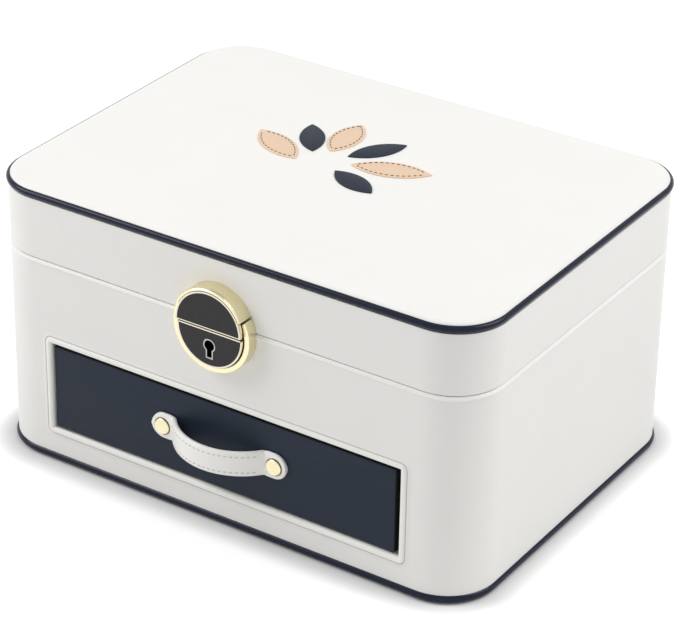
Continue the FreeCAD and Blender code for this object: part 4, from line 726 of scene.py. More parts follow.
# Padded top and piping
class BOX_OT_padded_top(bpy.types.Operator):
    """Stretch the leather over the lid's padded top, with a low crown and a round edge"""

    bl_idname = "box.padded_top"
    bl_label = "Padded top"

    def execute(self, context):
        form = form_settings()
        low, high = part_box("lid_top_leather")
        low = low - Vector((form.top_overlap, form.top_overlap, 0))
        high = high + Vector((form.top_overlap, form.top_overlap, 0))
        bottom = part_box("lid_piping")[1].z - 1.1 * MM
        bm = bmesh.new()
        corner = WALL_CORNER - (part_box("lid_cover")[1].x - high.x)
        face = level_face(bm, low, high, bottom, corner, 24)
        top = pull(bm, face, (0, 0, high.z - bottom))
        soften(bm, list(top.edges), form.top_round, 6)
        top = max((face for face in bm.faces if face.normal.z > 0.9), key=lambda face: face.calc_area())
        under = [face for face in bm.faces if face.calc_center_median().z < bottom + 1e-6]
        bmesh.ops.delete(bm, geom=under, context="FACES")
        half_x, half_y = (high.x - low.x) / 2 - form.top_round, (high.y - low.y) / 2 - form.top_round
        gone, risen = 0.0, 0.0
        rings = (1, 2, 4, 6, 8, 10, 12, 14, 14)
        for ring in rings:
            step = ring * MM
            shrink = (
                (half_x - gone - step) / (half_x - gone), (half_y - gone - step) / (half_y - gone), 1)
            gone += step
            rise = form.top_crown * (1 - (1 - gone / (sum(rings) * MM)) ** 2)
            top = pull(bm, top, (0, 0, rise - risen), shrink)
            risen = rise
        bmesh.ops.solidify(bm, geom=bm.faces[:], thickness=0.8 * MM)
        made = piece("top_leather", bm, "cream_leather", "lid", ["lid_top_leather"], material="top_leather")
        return {"FINISHED"}


class BOX_OT_piping(bpy.types.Operator):
    """Lay the navy piping round the bottom edge and round the lid's top edge"""

    bl_idname = "box.piping"
    bl_label = "Piping"

    def execute(self, context):
        form = form_settings()
        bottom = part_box("bottom_piping")
        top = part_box("lid_piping")
        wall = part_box("case_cover")[1]
        bottom_height = (bottom[0].z + bottom[1].z) / 2 + 0.45 * MM
        top_height = (top[0].z + top[1].z) / 2 + 0.15 * MM
        sunk = 0.8 * MM
        for name, node, body, thick, height in (
            ("bottom_welt", "bottom_piping", "case", form.bottom_piping, bottom_height),
            ("top_welt", "lid_piping", "lid", form.top_piping, top_height),
        ):
            bm = bmesh.new()
            made = bmesh.ops.create_circle(bm, segments=20, radius=thick / 2)["verts"]
            bmesh.ops.rotate(bm, verts=made, matrix=Matrix.Rotation(math.radians(90), 3, "X"))
            track = round_track(wall.x - sunk, wall.y - sunk, WALL_CORNER - sunk, height, 24)
            sweep(bm, bm.edges[:], track)
            weld(bm)
            piece(name, bm, "navy_leather", body, [node], smooth=60, material="navy_piping")
        return {"FINISHED"}


class BOX_OT_hem(bpy.types.Operator):
    """Turn the case's leather over its rim, which leaves a low hem round the front and the sides"""

    bl_idname = "box.hem"
    bl_label = "Hem"

    def execute(self, context):
        tall = form_settings().hem
        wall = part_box("case_cover")[1]
        bm = bmesh.new()
        edges = section_loop(bm, [(x * MM, z * tall) for x, z in (
            (-0.8, -1.0), (-0.05, -1.0), (0.30, -0.88), (0.52, -0.74), (0.58, -0.64), (0.57, -0.54),
            (0.46, -0.42), (0.22, -0.26), (0.0, -0.11), (-0.20, 0.0), (-0.38, 0.06), (-0.8, 0.06),
        )])
        end = 88 * MM
        fading = 9
        track = round_track(wall.x, wall.y, WALL_CORNER, wall.z + 0.2 * MM, 24, open_at_back=True)
        track = [station for station in track if station.translation.y < end]
        count = len(track)
        stations = []
        for number, station in enumerate(track):
            share = min(1.0, (min(number, count - 1 - number) + 1) / fading)
            flat = Matrix.Translation((-0.4 * MM * (1 - share), 0, 0)) @ Matrix.Diagonal((share, 1, 1, 1))
            stations.append(station @ flat)
        sweep(bm, edges, stations)
        close_holes(bm)
        # The hem is drawn in the lighter top leather, not the wall's cream leather it is turned from: a
        # painted highlight along the rim
        piece("case_hem", bm, "cream_leather", "case", smooth=60, material="top_leather")
        return {"FINISHED"}


class BOX_OT_back_joins(bpy.types.Operator):
    """Lap the ends of the wall leather over each other in the middle of the back"""

    bl_idname = "box.back_joins"
    bl_label = "Back joins"

    def execute(self, context):
        lap = form_settings().back_lap
        for name, node, body in (("case_join", "case_cover", "case"), ("lid_join", "lid_cover", "lid")):
            low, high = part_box(node)
            below, above = (0.3 * MM, 3 * MM) if body == "case" else (3 * MM, 0.3 * MM)
            bm = block(
                (-lap / 2, high.y - 0.3 * MM, low.z + below), (lap / 2, high.y + 0.35 * MM, high.z - above))
            soften(bm, [e for e in bm.edges if all(v.co.y > high.y for v in e.verts)], 0.25 * MM, 3)
            piece(name, bm, "cream_leather", body, smooth=50)
        return {"FINISHED"}


# Drawer's opening, front and strap
class BOX_OT_opening_trim(bpy.types.Operator):
    """Bind the drawer's opening with a rolled leather edge"""

    bl_idname = "box.opening_trim"
    bl_label = "Opening trim"

    def execute(self, context):
        wide = form_settings().trim_bead
        low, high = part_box("opening_trim")
        deep = high.y - FRONT
        band = 3.8 * MM
        upright = Matrix.Translation((0, FRONT, 0)) @ Matrix.Rotation(math.radians(90), 4, "X")
        track = round_track(
            (high.x - low.x) / 2 - band, (high.z - low.z) / 2 - band, 0.0, 0.0, 8, upright,
            ((low.x + high.x) / 2, (low.z + high.z) / 2))
        bm = bmesh.new()
        edges = section_loop(bm, [(0, -deep), (0, -0.25 * wide)] + [(x * wide, z * wide) for x, z in (
            (0.02, -0.06), (0.10, 0.12), (0.26, 0.26), (0.50, 0.31), (0.72, 0.28), (0.88, 0.18),
            (0.97, 0.04), (0.96, -0.04),
        )] + [(1.2 * MM, -0.1 * MM), (1.2 * MM, -deep)])
        sweep(bm, edges, track)
        weld(bm)
        piece("opening_roll", bm, "cream_leather", "case", ["opening_trim"], smooth=50, material="binding")
        for name, points, material in (
            ("opening_lip", (
                (0.30, -0.05), (0.30, 0.18), (0.48, 0.30), (0.85, 0.27), (1.4, 0.14), (2.1, -0.01),
                (2.1, -0.05),
            ), "cream_leather"),
            # The crease strip is a darker band laid where the fold lies in shade: painted shade
            ("opening_crease_shade", ((-0.30, -0.05), (-0.30, 0.10), (0.40, 0.10), (0.40, -0.05)), "crease_shade"),
        ):
            bm = bmesh.new()
            sweep(bm, section_loop(bm, [(wide + x * MM, z * MM) for x, z in points]), track)
            weld(bm)
            piece(name, bm, "cream_leather", "case", smooth=50, material=material)
        return {"FINISHED"}


class BOX_OT_drawer_front(bpy.types.Operator):
    """Wrap the drawer's front board in navy leather with soft edges"""

    bl_idname = "box.drawer_front"
    bl_label = "Drawer front"

    def execute(self, context):
        form = form_settings()
        low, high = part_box("drawer_front_leather")
        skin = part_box("drawer_front_board")[0].y - low.y
        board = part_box("drawer_front_board")[1]
        high = Vector((board.x + 0.3 * MM, high.y, board.z + 0.4 * MM))
        lying_low = Vector((low.x, -high.z, low.y))
        lying_high = Vector((high.x, -low.z, high.y))
        bm = open_tray(lying_low, lying_high, skin, skin, 0.8 * MM, 0.15 * MM)
        bottom = [edge for edge in bm.edges if all(v.co.z < low.y + 1e-6 for v in edge.verts)]
        soften(bm, bottom, form.front_round, 6)
        bmesh.ops.rotate(bm, verts=bm.verts[:], matrix=Matrix.Rotation(math.radians(-90), 3, "X"))
        bmesh.ops.recalc_face_normals(bm, faces=bm.faces[:])
        # Faces that turn away from the front get the black edge paint, which also paints the shade in the gap
        # round the drawer
        for face in bm.faces:
            face.material_index = 1 if face.normal.y > -0.85 else 0
        made = piece("drawer_leather", bm, "navy_leather", "drawer", ["drawer_front_leather"], smooth=50)
        made.data.materials.append(MATERIALS["edge_paint_and_gap_shade"])
        return {"FINISHED"}


def walk(points, pitch, start):
    """Places and directions at even distances along a line of points."""
    placed = []
    travelled = 0.0
    wanted = start
    for first, second in zip(points, points[1:]):
        run = (second - first).length
        while run and travelled + run >= wanted:
            share = (wanted - travelled) / run
            placed.append((first.lerp(second, share), (second - first).normalized()))
            wanted += pitch
        travelled += run
    return placed


def sew(bm, points, up):
    """Stitches along a line of points, each a short rounded bead of thread that lies on the leather."""
    sewing = sewing_settings()
    for place, along in walk(points, sewing.stitch + sewing.gap, sewing.stitch / 2):
        normal = up(place) if callable(up) else Vector(up)
        side = normal.cross(along).normalized()
        normal = along.cross(side).normalized()
        part = bmesh.new()
        bmesh.ops.create_uvsphere(part, u_segments=8, v_segments=6, radius=0.5)
        matrix = Matrix((
            (along.x * sewing.stitch, side.x * sewing.thread, normal.x * sewing.thread, place.x),
            (along.y * sewing.stitch, side.y * sewing.thread, normal.y * sewing.thread, place.y),
            (along.z * sewing.stitch, side.z * sewing.thread, normal.z * sewing.thread, place.z),
            (0, 0, 0, 1),
        ))
        bmesh.ops.transform(part, matrix=matrix, verts=part.verts[:])
        add_part(bm, part)


def strap_line(form):
    """The strap's centre line from left to right, as places with the strap's heading there."""
    low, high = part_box("pull_strap")
    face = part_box("drawer_front_leather")[0].y
    middle = face - form.strap / 2
    bow = face - low.y - form.strap
    height = (low.z + high.z) / 2
    turn = 2 * math.atan2(bow, form.strap_rise)
    crown = form.strap_rise / math.sin(turn) - form.strap_bend
    line = []
    for step in range(15):
        x = -form.strap_reach + (form.strap_reach - form.strap_rise) * (1 - math.cos(math.pi * step / 30))
        line.append((Vector((x, middle, height)), 0.0))
    for step in range(1, 9):
        a = turn * step / 8
        x = -form.strap_rise + form.strap_bend * math.sin(a)
        line.append((Vector((x, middle - form.strap_bend * (1 - math.cos(a)), height)), -a))
    for step in range(1, 13):
        a = -turn + turn * step / 12
        line.append((Vector((crown * math.sin(a), middle - bow + crown * (1 - math.cos(a)), height)), a))
    return line + [(Vector((-place.x, place.y, place.z)), -heading) for place, heading in line[-2::-1]]


class BOX_OT_pull_strap(bpy.types.Operator):
    """Make the padded pull strap with its seams and its two rivets"""

    bl_idname = "box.pull_strap"
    bl_label = "Pull strap"

    def execute(self, context):
        form = form_settings()
        low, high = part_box("pull_strap")
        height = (low.z + high.z) / 2
        half = (high.z - low.z) / 2
        thick = form.strap
        line = strap_line(form)
        bm = bmesh.new()
        level_face(bm, (-thick / 2, -half), (thick / 2, half), 0.0, 0.9 * MM, 4)
        bmesh.ops.subdivide_edges(
            bm, edges=[e for e in bm.edges if e.calc_length() > 5 * MM], cuts=7, use_grid_fill=False)
        for vert in bm.verts:
            share = 1 - min(1.0, abs(vert.co.y) / half) ** 2
            if vert.co.x > 0:
                vert.co.x -= 0.5 * MM * (1 - share)
        bmesh.ops.rotate(bm, verts=bm.verts[:], matrix=Matrix.Rotation(math.radians(90), 3, "X"))
        tab = form.strap_tab / thick
        stations = []
        for place, heading in line:
            beyond = abs(place.x) - form.strap_rise + 0.3 * MM
            padded = 1 / (1 + math.exp(min(60, max(-60, beyond / (0.3 * MM)))))
            across = tab + (1 - tab) * padded
            wide = 1.0 - 0.045 * padded - 0.03 * math.exp(-(beyond / (0.6 * MM)) ** 2)
            end = max(0.0, (abs(place.x) - (form.strap_reach - half)) / half)
            wide *= max(0.12, math.sqrt(max(0.0, 1 - min(1.0, end) ** 2)))
            turn = Matrix.Rotation(heading - math.radians(90), 4, "Z")
            shift = Matrix.Translation((-(1 - across) * thick / 2, 0, 0))
            stations.append(
                Matrix.Translation(place) @ turn @ shift @ Matrix.Diagonal((across, 1, wide, 1)))
        sweep(bm, section_edges(bm), stations)
        close_holes(bm)
        piece("strap_leather", bm, "cream_leather", "drawer", ["pull_strap"], smooth=50, material="binding")

        seam = bmesh.new()
        inside = half - sewing_settings().strap_margin
        for side in (-1, 1):
            points = []
            for place, heading in line:
                if abs(place.x) > form.strap_rise - 2.2 * MM:
                    continue
                outward = Vector((math.sin(heading), -math.cos(heading), 0))
                crown = 0.5 * MM * (inside / half) ** 2
                proud = outward * (thick / 2 - crown - 0.02 * MM)
                points.append(place + proud + Vector((0, 0, side * inside)))
            sew(seam, points, lambda place: Vector((place.x * 0.02, -1, 0)))
        piece("strap_seams", seam, "cream_leather", "drawer", smooth=60, material="thread")

        rivets = bmesh.new()
        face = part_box("drawer_front_leather")[0].y
        top = FRONT - (face - form.strap_tab)
        shank = 1.55 * MM
        head, r = 0.8 * MM, form.rivet
        for side in (-1, 1):
            part = bmesh.new()
            lathe(part, (
                (0, top - 7 * MM), (shank, top - 7 * MM), (shank, top - 0.1 * MM),
                (r - 0.5 * MM, top - 0.1 * MM), (r, top + 0.35 * head), (r, top + 0.6 * head),
                (r - 0.3 * MM, top + head), (r - 0.9 * MM, top + 0.95 * head), (0, top + 0.9 * head),
            ), (side * (form.strap_reach - half + 0.4 * MM), height), steps=48)
            add_part(rivets, part)
        piece("rivet_heads", rivets, "gold", "drawer", ["strap_rivets"], smooth=30)
        # A thin dark ring under each rivet's head: painted shade for the shadow line round the head
        rings = bmesh.new()
        for side in (-1, 1):
            part = bmesh.new()
            lathe(part, (
                (r - 0.6 * MM, top - 0.1 * MM), (r + 0.45 * MM, top - 0.1 * MM),
                (r + 0.4 * MM, top + 0.08 * MM), (r - 0.6 * MM, top + 0.08 * MM),
            ), (side * (form.strap_reach - half + 0.4 * MM), height), steps=48, closed=True)
            add_part(rings, part)
        piece("rivet_shade_rings", rings, "gold", "drawer", smooth=30, material="gap_shade_brass")
        return {"FINISHED"}


# Lock
RING_WALL = 2.6 * MM
BARREL_ROOM = 4.7 * MM
BARREL = (3.45 * MM, 4.6 * MM)
CLASP_RADIUS = 18.75 * MM
CLASP_PLATE = 1.9 * MM
BUTTON_PLATE = 2.4 * MM
KEY = (0, 95.4 * MM)
# The keyhole's radius, half the width of its slot, and how far the slot reaches below its middle
KEYHOLE = (2.6 * MM, 1.3 * MM, 5.9 * MM)


class BOX_OT_lock(bpy.types.Operator):
    """Turn the lock's ring, the lid's cap and the pressed half disc with polished lips"""

    bl_idname = "box.lock"
    bl_label = "Lock"

    def execute(self, context):
        form = form_settings()
        self.ring(form)
        self.cap(form)
        self.button(form)
        self.spring()
        return {"FINISHED"}

    def ring(self, form):
        """The fixed ring on the case: a wall with two ears, and a floor behind the button."""
        low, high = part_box("lock_ring")
        outer = high.x
        middle = (0, low.z + outer)
        proud = FRONT - low.y
        inner = outer - RING_WALL
        ear = math.degrees(math.asin((high.z - middle[1]) / outer))
        bm = bmesh.new()
        lathe(bm, ((inner, 0), (outer, 0), (outer, proud), (inner, proud)), middle, steps=90,
              start=ear, angle=180 + 2 * ear, closed=True)
        close_holes(bm)
        soften(bm, sharp_edges(bm), form.lip, 3)
        floor = bmesh.new()
        lathe(floor, (
            (BARREL_ROOM, 0), (inner + 0.4 * MM, 0), (inner + 0.4 * MM, 1.4 * MM), (BARREL_ROOM, 1.4 * MM),
        ), middle, steps=72, closed=True)
        keep_above(floor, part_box("case_cover")[1].z - 1 * MM, above=False)
        piece("lock_rim", bm, "gold", "case", ["lock_ring"], smooth=30)
        # The floor behind the button is drawn in dark brass: painted shade in the gap
        piece("lock_floor", floor, "gold", "case", smooth=30, material="gap_shade_brass")

    def half_disc(self, bm, radius, middle, edge, above, front, back, border):
        """A half disc with a pocket inside a narrow border; front and back are heights off the wall."""
        made = bmesh.ops.create_circle(bm, cap_ends=True, segments=144, radius=radius)["verts"]
        bmesh.ops.rotate(bm, verts=made, matrix=Matrix.Rotation(math.radians(90), 3, "X"))
        bmesh.ops.translate(bm, verts=made, vec=(0, FRONT - back, middle))
        bmesh.ops.bisect_plane(
            bm, geom=bm.verts[:] + bm.edges[:] + bm.faces[:], dist=1e-7, plane_co=(0, 0, edge),
            plane_no=(0, 0, 1), clear_outer=not above, clear_inner=above)
        bm.faces.ensure_lookup_table()
        face = pull(bm, bm.faces[0], (0, back - front, 0))
        inset(bm, face, border)
        pull(bm, face, (0, 0.5 * MM, 0))
        bmesh.ops.recalc_face_normals(bm, faces=bm.faces[:])

    def keyhole(self, bm, key, radius, half, drop):
        """A keyhole's outline as a closed line: most of a circle and a slot that hangs from it."""
        start = math.asin(half / radius)
        points = []
        for step in range(41):
            angle = start + (2 * math.pi - 2 * start) * step / 40
            points.append((key[0] + radius * math.sin(angle), key[1] - radius * math.cos(angle)))
        points += [(key[0] - half, key[1] - drop), (key[0] + half, key[1] - drop)]
        return section_loop(bm, points)

    def outline(self, key, size, wide, back, front):
        """A band round a keyhole's outline, from one depth to another."""
        bm = bmesh.new()
        edges = self.keyhole(bm, key, *size)
        edges += self.keyhole(bm, key, size[0] + wide, size[1] + wide, size[2] + wide)
        bmesh.ops.triangle_fill(bm, use_beauty=True, use_dissolve=False, edges=edges, normal=(0, -1, 0))
        bmesh.ops.translate(bm, verts=bm.verts[:], vec=(0, back, 0))
        made = bmesh.ops.extrude_face_region(bm, geom=bm.faces[:], use_keep_orig=True)["geom"]
        bmesh.ops.translate(bm, verts=verts_in(made), vec=(0, front - back, 0))
        bmesh.ops.recalc_face_normals(bm, faces=bm.faces[:])
        rim = [e for e in sharp_edges(bm, 50) if all(v.co.y < front + 1e-6 for v in e.verts)]
        soften(bm, rim, 0.05 * MM, 2)
        return bm

    def cap(self, form):
        """The lid's half: a round head over the ears, the inlaid plate between them and its core."""
        low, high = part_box("clasp_cap")
        proud = FRONT - low.y
        radius = CLASP_RADIUS
        middle = (0, high.z - radius)
        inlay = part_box("clasp_cap_inlay")
        plate = inlay[1].z - middle[1] + 0.03 * MM + form.border
        back = proud - CLASP_PLATE
        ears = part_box("lock_ring")[1].z + 0.7 * MM
        bm = bmesh.new()
        self.half_disc(bm, plate, middle[1], SEAM + 0.1 * MM, True, proud, back, form.border)
        soften(bm, sharp_edges(bm, 50), 0.1 * MM, 2)
        piece("clasp_plate", bm, "gold", "lid", smooth=30, material="pale_rim")
        head = bmesh.new()
        lathe(head, (
            (0, 0), (radius, 0), (radius, proud - 0.8 * MM), (radius - 0.14 * MM, proud - 0.3 * MM),
            (radius - 0.45 * MM, proud), (plate + 0.4 * MM, proud), (plate + 0.28 * MM, proud - 0.12 * MM),
            (plate + 0.28 * MM, back + 0.3 * MM), (0, back + 0.3 * MM),
        ), middle, steps=144)
        keep_above(head, ears)
        bmesh.ops.recalc_face_normals(head, faces=head.faces[:])
        soften(head, sharp_edges(head, 70), 0.1 * MM, 2)
        piece("clasp_head", head, "gold", "lid", ["clasp_cap"], smooth=30)
        half = 13.5 * MM
        # The core shows through the gap between the head and the ears; its dark brass is painted shade there
        core = block(
            (-half, FRONT - back - 0.2 * MM, SEAM + 0.5 * MM), (half, FRONT, ears + 0.5 * MM))
        soften(core, core.edges[:], 0.3 * MM, 2)
        piece("clasp_core", core, "gold", "lid", smooth=30, material="gap_shade_brass")

    def button(self, form):
        """The pressed half disc: inlaid plate with its keyhole, hollow barrel and fin."""
        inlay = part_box("lock_button_inlay")
        low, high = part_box("lock_button")
        proud = FRONT - low.y
        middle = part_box("lock_ring")[0].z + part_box("lock_ring")[1].x
        plate = middle - inlay[0].z + 0.03 * MM + form.border
        back = proud - BUTTON_PLATE
        key = KEY
        radius, half, drop = KEYHOLE
        bm = bmesh.new()
        self.half_disc(bm, plate, middle, high.z, False, proud, back, form.border)
        hole = bmesh.new()
        lathe(hole, (
            (0, back - 1 * MM), (radius, back - 1 * MM), (radius, proud + 1 * MM), (0, proud + 1 * MM),
        ), key, steps=40)
        bm = carve(bm, hole)
        bm = carve(bm, block((-half, FRONT - proud - 1 * MM, key[1] - drop),
                             (half, FRONT - back + 1 * MM, key[1] - 1 * MM)))
        soften(bm, sharp_edges(bm, 50), 0.08 * MM, 2)
        piece("button_plate", bm, "gold", "lock_button", ["lock_button"], smooth=30, material="pale_rim")
        rim = self.outline(key, KEYHOLE, form.key_rim, low.y + 0.3 * MM, low.y - 0.15 * MM)
        piece("keyhole_edge", rim, "gold", "lock_button", ["keyhole_rim"], smooth=40,
              material="keyhole_metal")
        # A black liner inside the keyhole and a black plate behind its slot: painted shade for the dark
        # inside of the lock
        size = tuple(length - 0.15 * MM for length in KEYHOLE)
        shade_liner = self.outline(key, size, 0.2 * MM, FRONT - back - 0.02 * MM, low.y - 0.02 * MM)
        add_block(shade_liner, (-1.15 * MM, FRONT - back - 0.5 * MM, key[1] - 5.7 * MM),
                  (1.15 * MM, FRONT - back - 0.06 * MM, key[1] - 3.46 * MM), 0.05 * MM)
        piece("keyhole_shade_liner", shade_liner, "steel", "lock_button", smooth=40, material="black_steel_and_keyhole_shade")
        barrel = bmesh.new()
        lathe(barrel, (
            (BARREL[0], back + 0.05 * MM), (BARREL[1], back + 0.05 * MM), (BARREL[1], FRONT - high.y),
            (BARREL[0], FRONT - high.y),
        ), key, steps=48, closed=True)
        add_block(barrel, (-BARREL[1], high.y - 2.9 * MM, key[1]),
                  (-1.5 * MM, high.y, high.z - 0.9 * MM), 0.2 * MM)
        piece("button_barrel", barrel, "gold", "lock_button", smooth=30)

    def spring(self):
        """The bellows round the barrel that pushes the button out and, in the real lock, shortens as it goes
        in; here it is drawn at one length, with a mesh of its own.
        """
        low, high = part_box("button_spring")
        key = ((low.x + high.x) / 2, (low.z + high.z) / 2)
        outer = (high.x - low.x) / 2
        half = 0.4 * MM
        ends = (FRONT - high.y + 0.02 * MM, FRONT - low.y - 0.02 * MM)
        folds = []
        for step in range(7):
            radius = outer - (half if step % 2 else 2 * MM - half)
            folds.append((radius, ends[0] + (ends[1] - ends[0]) * step / 6))
        bm = bmesh.new()
        outline = [(r + half, h) for r, h in folds] + [(r - half, h) for r, h in reversed(folds)]
        lathe(bm, outline, key, steps=64, closed=True)
        made = piece("spring_bellows", bm, "steel", "case", ["button_spring"], smooth=30)
        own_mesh(made)


# Applied leaves
LEAF_LENGTH = 38.0
LEAF_WIDTH = 15.0
LEAF_MIDDLE = (-11.0, 8.0)
# Tone, place of the foot in leaf lengths from the middle, turn in degrees, then shares of length and width
LEAVES = (
    ("light", -0.32, -0.27, 152.0, 0.91, 1.0),
    ("light", -0.09, 0.14, 96.0, 0.84, 1.0),
    ("light", 0.31, -0.02, 18.0, 1.0, 1.0),
    ("dark", -0.27, 0.02, 124.0, 0.75, 0.8),
    ("dark", 0.16, 0.14, 58.0, 0.79, 0.8),
    ("dark", 0.25, -0.27, -20.0, 0.72, 0.8),
)


class BOX_OT_leaves(bpy.types.Operator):
    """Cut the applied leather leaves and sew them to the top"""

    bl_idname = "box.leaves"
    bl_label = "Leaves"

    def execute(self, context):
        form = form_settings()
        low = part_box("motif_leaves_light")[0].z + form.top_crown * 0.9
        seams = bmesh.new()
        for tone, slot in (("light", "nude_leather"), ("dark", "navy_leather")):
            bm = bmesh.new()
            for kind, x, y, turn, length, width in LEAVES:
                if kind != tone:
                    continue
                foot = ((LEAF_MIDDLE[0] + LEAF_LENGTH * x) * MM, (LEAF_MIDDLE[1] + LEAF_LENGTH * y) * MM, low)
                length, width = LEAF_LENGTH * length * MM, LEAF_WIDTH * width * MM
                place = Matrix.Translation(foot)
                place = place @ Matrix.Rotation(math.radians(turn), 4, "Z")
                add_part(bm, self.leaf(length, width, form.leaf_pillow, place))
                if tone == "light":
                    self.seam(seams, length, width, form.leaf_pillow, place)
            piece("leaves_" + tone, bm, slot, "lid", ["motif_leaves_" + tone], smooth=40)
        piece("leaf_seams", seams, "nude_leather", "lid", smooth=60, material="dark_thread")
        return {"FINISHED"}

    def arc(self, length, width):
        """Radius of a leaf's side, and how far its centre lies beyond the leaf's middle line."""
        radius = (length ** 2 + width ** 2) / (4 * width)
        return radius, radius - width / 2

    def leaf(self, length, width, thick, place):
        """Half of a leaf is cut from a disc, mirrored, raised, and its rim rounded."""
        radius, beyond = self.arc(length, width)
        bm = bmesh.new()
        made = bmesh.ops.create_circle(bm, cap_ends=True, segments=160, radius=radius)["verts"]
        bmesh.ops.translate(bm, verts=made, vec=(length / 2, -beyond, 0))
        bmesh.ops.bisect_plane(
            bm, geom=bm.verts[:] + bm.edges[:] + bm.faces[:], dist=1e-8, plane_co=(0, 0, 0),
            plane_no=(0, 1, 0), clear_inner=True)
        bmesh.ops.mirror(bm, geom=bm.verts[:] + bm.edges[:] + bm.faces[:], merge_dist=1e-6, axis="Y")
        rim = [edge for edge in bm.edges if len(edge.link_faces) > 1]
        bmesh.ops.dissolve_edges(bm, edges=rim, use_verts=False)
        bm.faces.ensure_lookup_table()
        top = pull(bm, bm.faces[0], (0, 0, thick * 0.8))
        soften(bm, list(top.edges), 0.25 * MM, 3)
        top = max(bm.faces, key=lambda face: face.calc_area() * face.normal.z)
        top = pull(bm, top, (0, 0, thick * 0.12), (0.90, 0.78, 1))
        pull(bm, top, (0, 0, thick * 0.08), (0.85, 0.62, 1))
        bmesh.ops.transform(bm, matrix=place, verts=bm.verts[:])
        return bm

    def seam(self, seams, length, width, thick, place):
        """Stitches round the leaf inside its edge."""
        radius, beyond = self.arc(length, width)
        inside = radius - sewing_settings().leaf_margin
        reach = math.acos(min(1.0, (beyond + 0.6 * MM) / inside))
        for side in (-1, 1):
            points = []
            for step in range(41):
                angle = reach * (step / 20 - 1)
                points.append(place @ Vector((
                    length / 2 + inside * math.sin(angle), side * (inside * math.cos(angle) - beyond),
                    thick * 0.86)))
            sew(seams, points, (0, 0, 1))


# Linings
def open_tray(low, high, wall, floor, radius, rounding):
    """A lined tray: walls and a floor from one block, its rim and its inner foot rounded."""
    bm = bmesh.new()
    face = level_face(bm, low, high, low[2], radius, 12)
    top = pull(bm, face, (0, 0, high[2] - low[2]))
    inset(bm, top, wall)
    rim = list(top.edges)
    outer = [edge for edge in bm.edges if all(v.co.z > high[2] - 1e-6 for v in edge.verts)]
    room = pull(bm, top, (0, 0, low[2] + floor - high[2]))
    foot = list(room.edges)
    along = set(outer) | set(rim)
    level = [e for e in bm.edges if all(v.co.z > high[2] - 1e-6 for v in e.verts) and e in along
             and e.calc_face_angle(0) > 1.0]
    soften(bm, level + foot, rounding, 3)
    return bm


def turned_over(bm, height):
    """The same form upside down about a height."""
    bmesh.ops.scale(bm, verts=bm.verts[:], vec=(1, 1, -1))
    bmesh.ops.translate(bm, verts=bm.verts[:], vec=(0, 0, 2 * height))


class BOX_OT_linings(bpy.types.Operator):
    """Line the tray, the lid and the drawer with velvet, and cover the ledge and the dividers"""

    bl_idname = "box.linings"
    bl_label = "Linings"

    def execute(self, context):
        rounding = form_settings().lining_round
        wall = 1.5 * MM
        low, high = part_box("tray_lining")
        bm = open_tray(low, high, wall, wall, LINING_CORNER, rounding)
        piece("tray_velvet", bm, "velvet", "case", ["tray_lining"])

        low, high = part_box("lid_lining")
        bm = open_tray(low, high, wall, wall, LINING_CORNER, rounding)
        turned_over(bm, (low.z + high.z) / 2)
        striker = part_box("clasp_striker")
        bm = carve(bm, block((striker[0].x - 2 * MM, low.y - 2 * MM, low.z - 2 * MM),
                             (striker[1].x + 2 * MM, low.y + wall + 1 * MM, striker[1].z + 1 * MM)))
        piece("lid_velvet", bm, "velvet", "lid", ["lid_lining"])

        low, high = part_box("drawer_lining")
        bm = open_tray(low, high, wall, wall, 0.0, rounding)
        piece("drawer_velvet", bm, "velvet", "drawer", ["drawer_lining"])

        low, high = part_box("rim_ledge")
        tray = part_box("tray_lining")
        bm = bmesh.new()
        face = level_face(bm, low, high, low.z, LINING_CORNER, 12)
        pull(bm, face, (0, 0, high.z - low.z))
        soften(bm, sharp_edges(bm, 60), 0.35 * MM, 2)
        room = bmesh.new()
        inner_low = (tray[0].x + wall, tray[0].y + wall)
        inner_high = (tray[1].x - wall, tray[1].y - wall)
        face = level_face(room, inner_low, inner_high, low.z - 1 * MM, ROOM_CORNER, 12)
        pull(room, face, (0, 0, high.z - low.z + 2 * MM))
        bm = carve(bm, room)
        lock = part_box("lock_box")
        bm = carve(bm, block((striker[0].x - 1 * MM, lock[0].y + 0.8 * MM, low.z - 1 * MM),
                             (striker[1].x + 1 * MM, lock[1].y - 0.8 * MM, high.z + 1 * MM)))
        piece("ledge_velvet", bm, "velvet", "case", ["rim_ledge"])

        for node, body in (
            ("tray_divider_left", "case"), ("tray_divider_right", "case"), ("tray_divider_cross", "case"),
            ("drawer_divider_long", "drawer"), ("drawer_divider_cross", "drawer"),
        ):
            low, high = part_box(node)
            bm = bmesh.new()
            add_block(bm, low, high)
            thick = min(high.x - low.x, high.y - low.y)
            top = [e for e in bm.edges if all(v.co.z > high.z - 1e-6 for v in e.verts)]
            soften(bm, top, thick * 0.48, 5)
            piece(node + "_velvet", bm, "velvet", body, [node])
        return {"FINISHED"}


# Ring rolls
ROLLS = 8
ROLL_GAP = 0.4 * MM
ROLL_FOOT = 2.5 * MM
CLOTH_MASS = 0.03
FILLING_FRAMES = 20


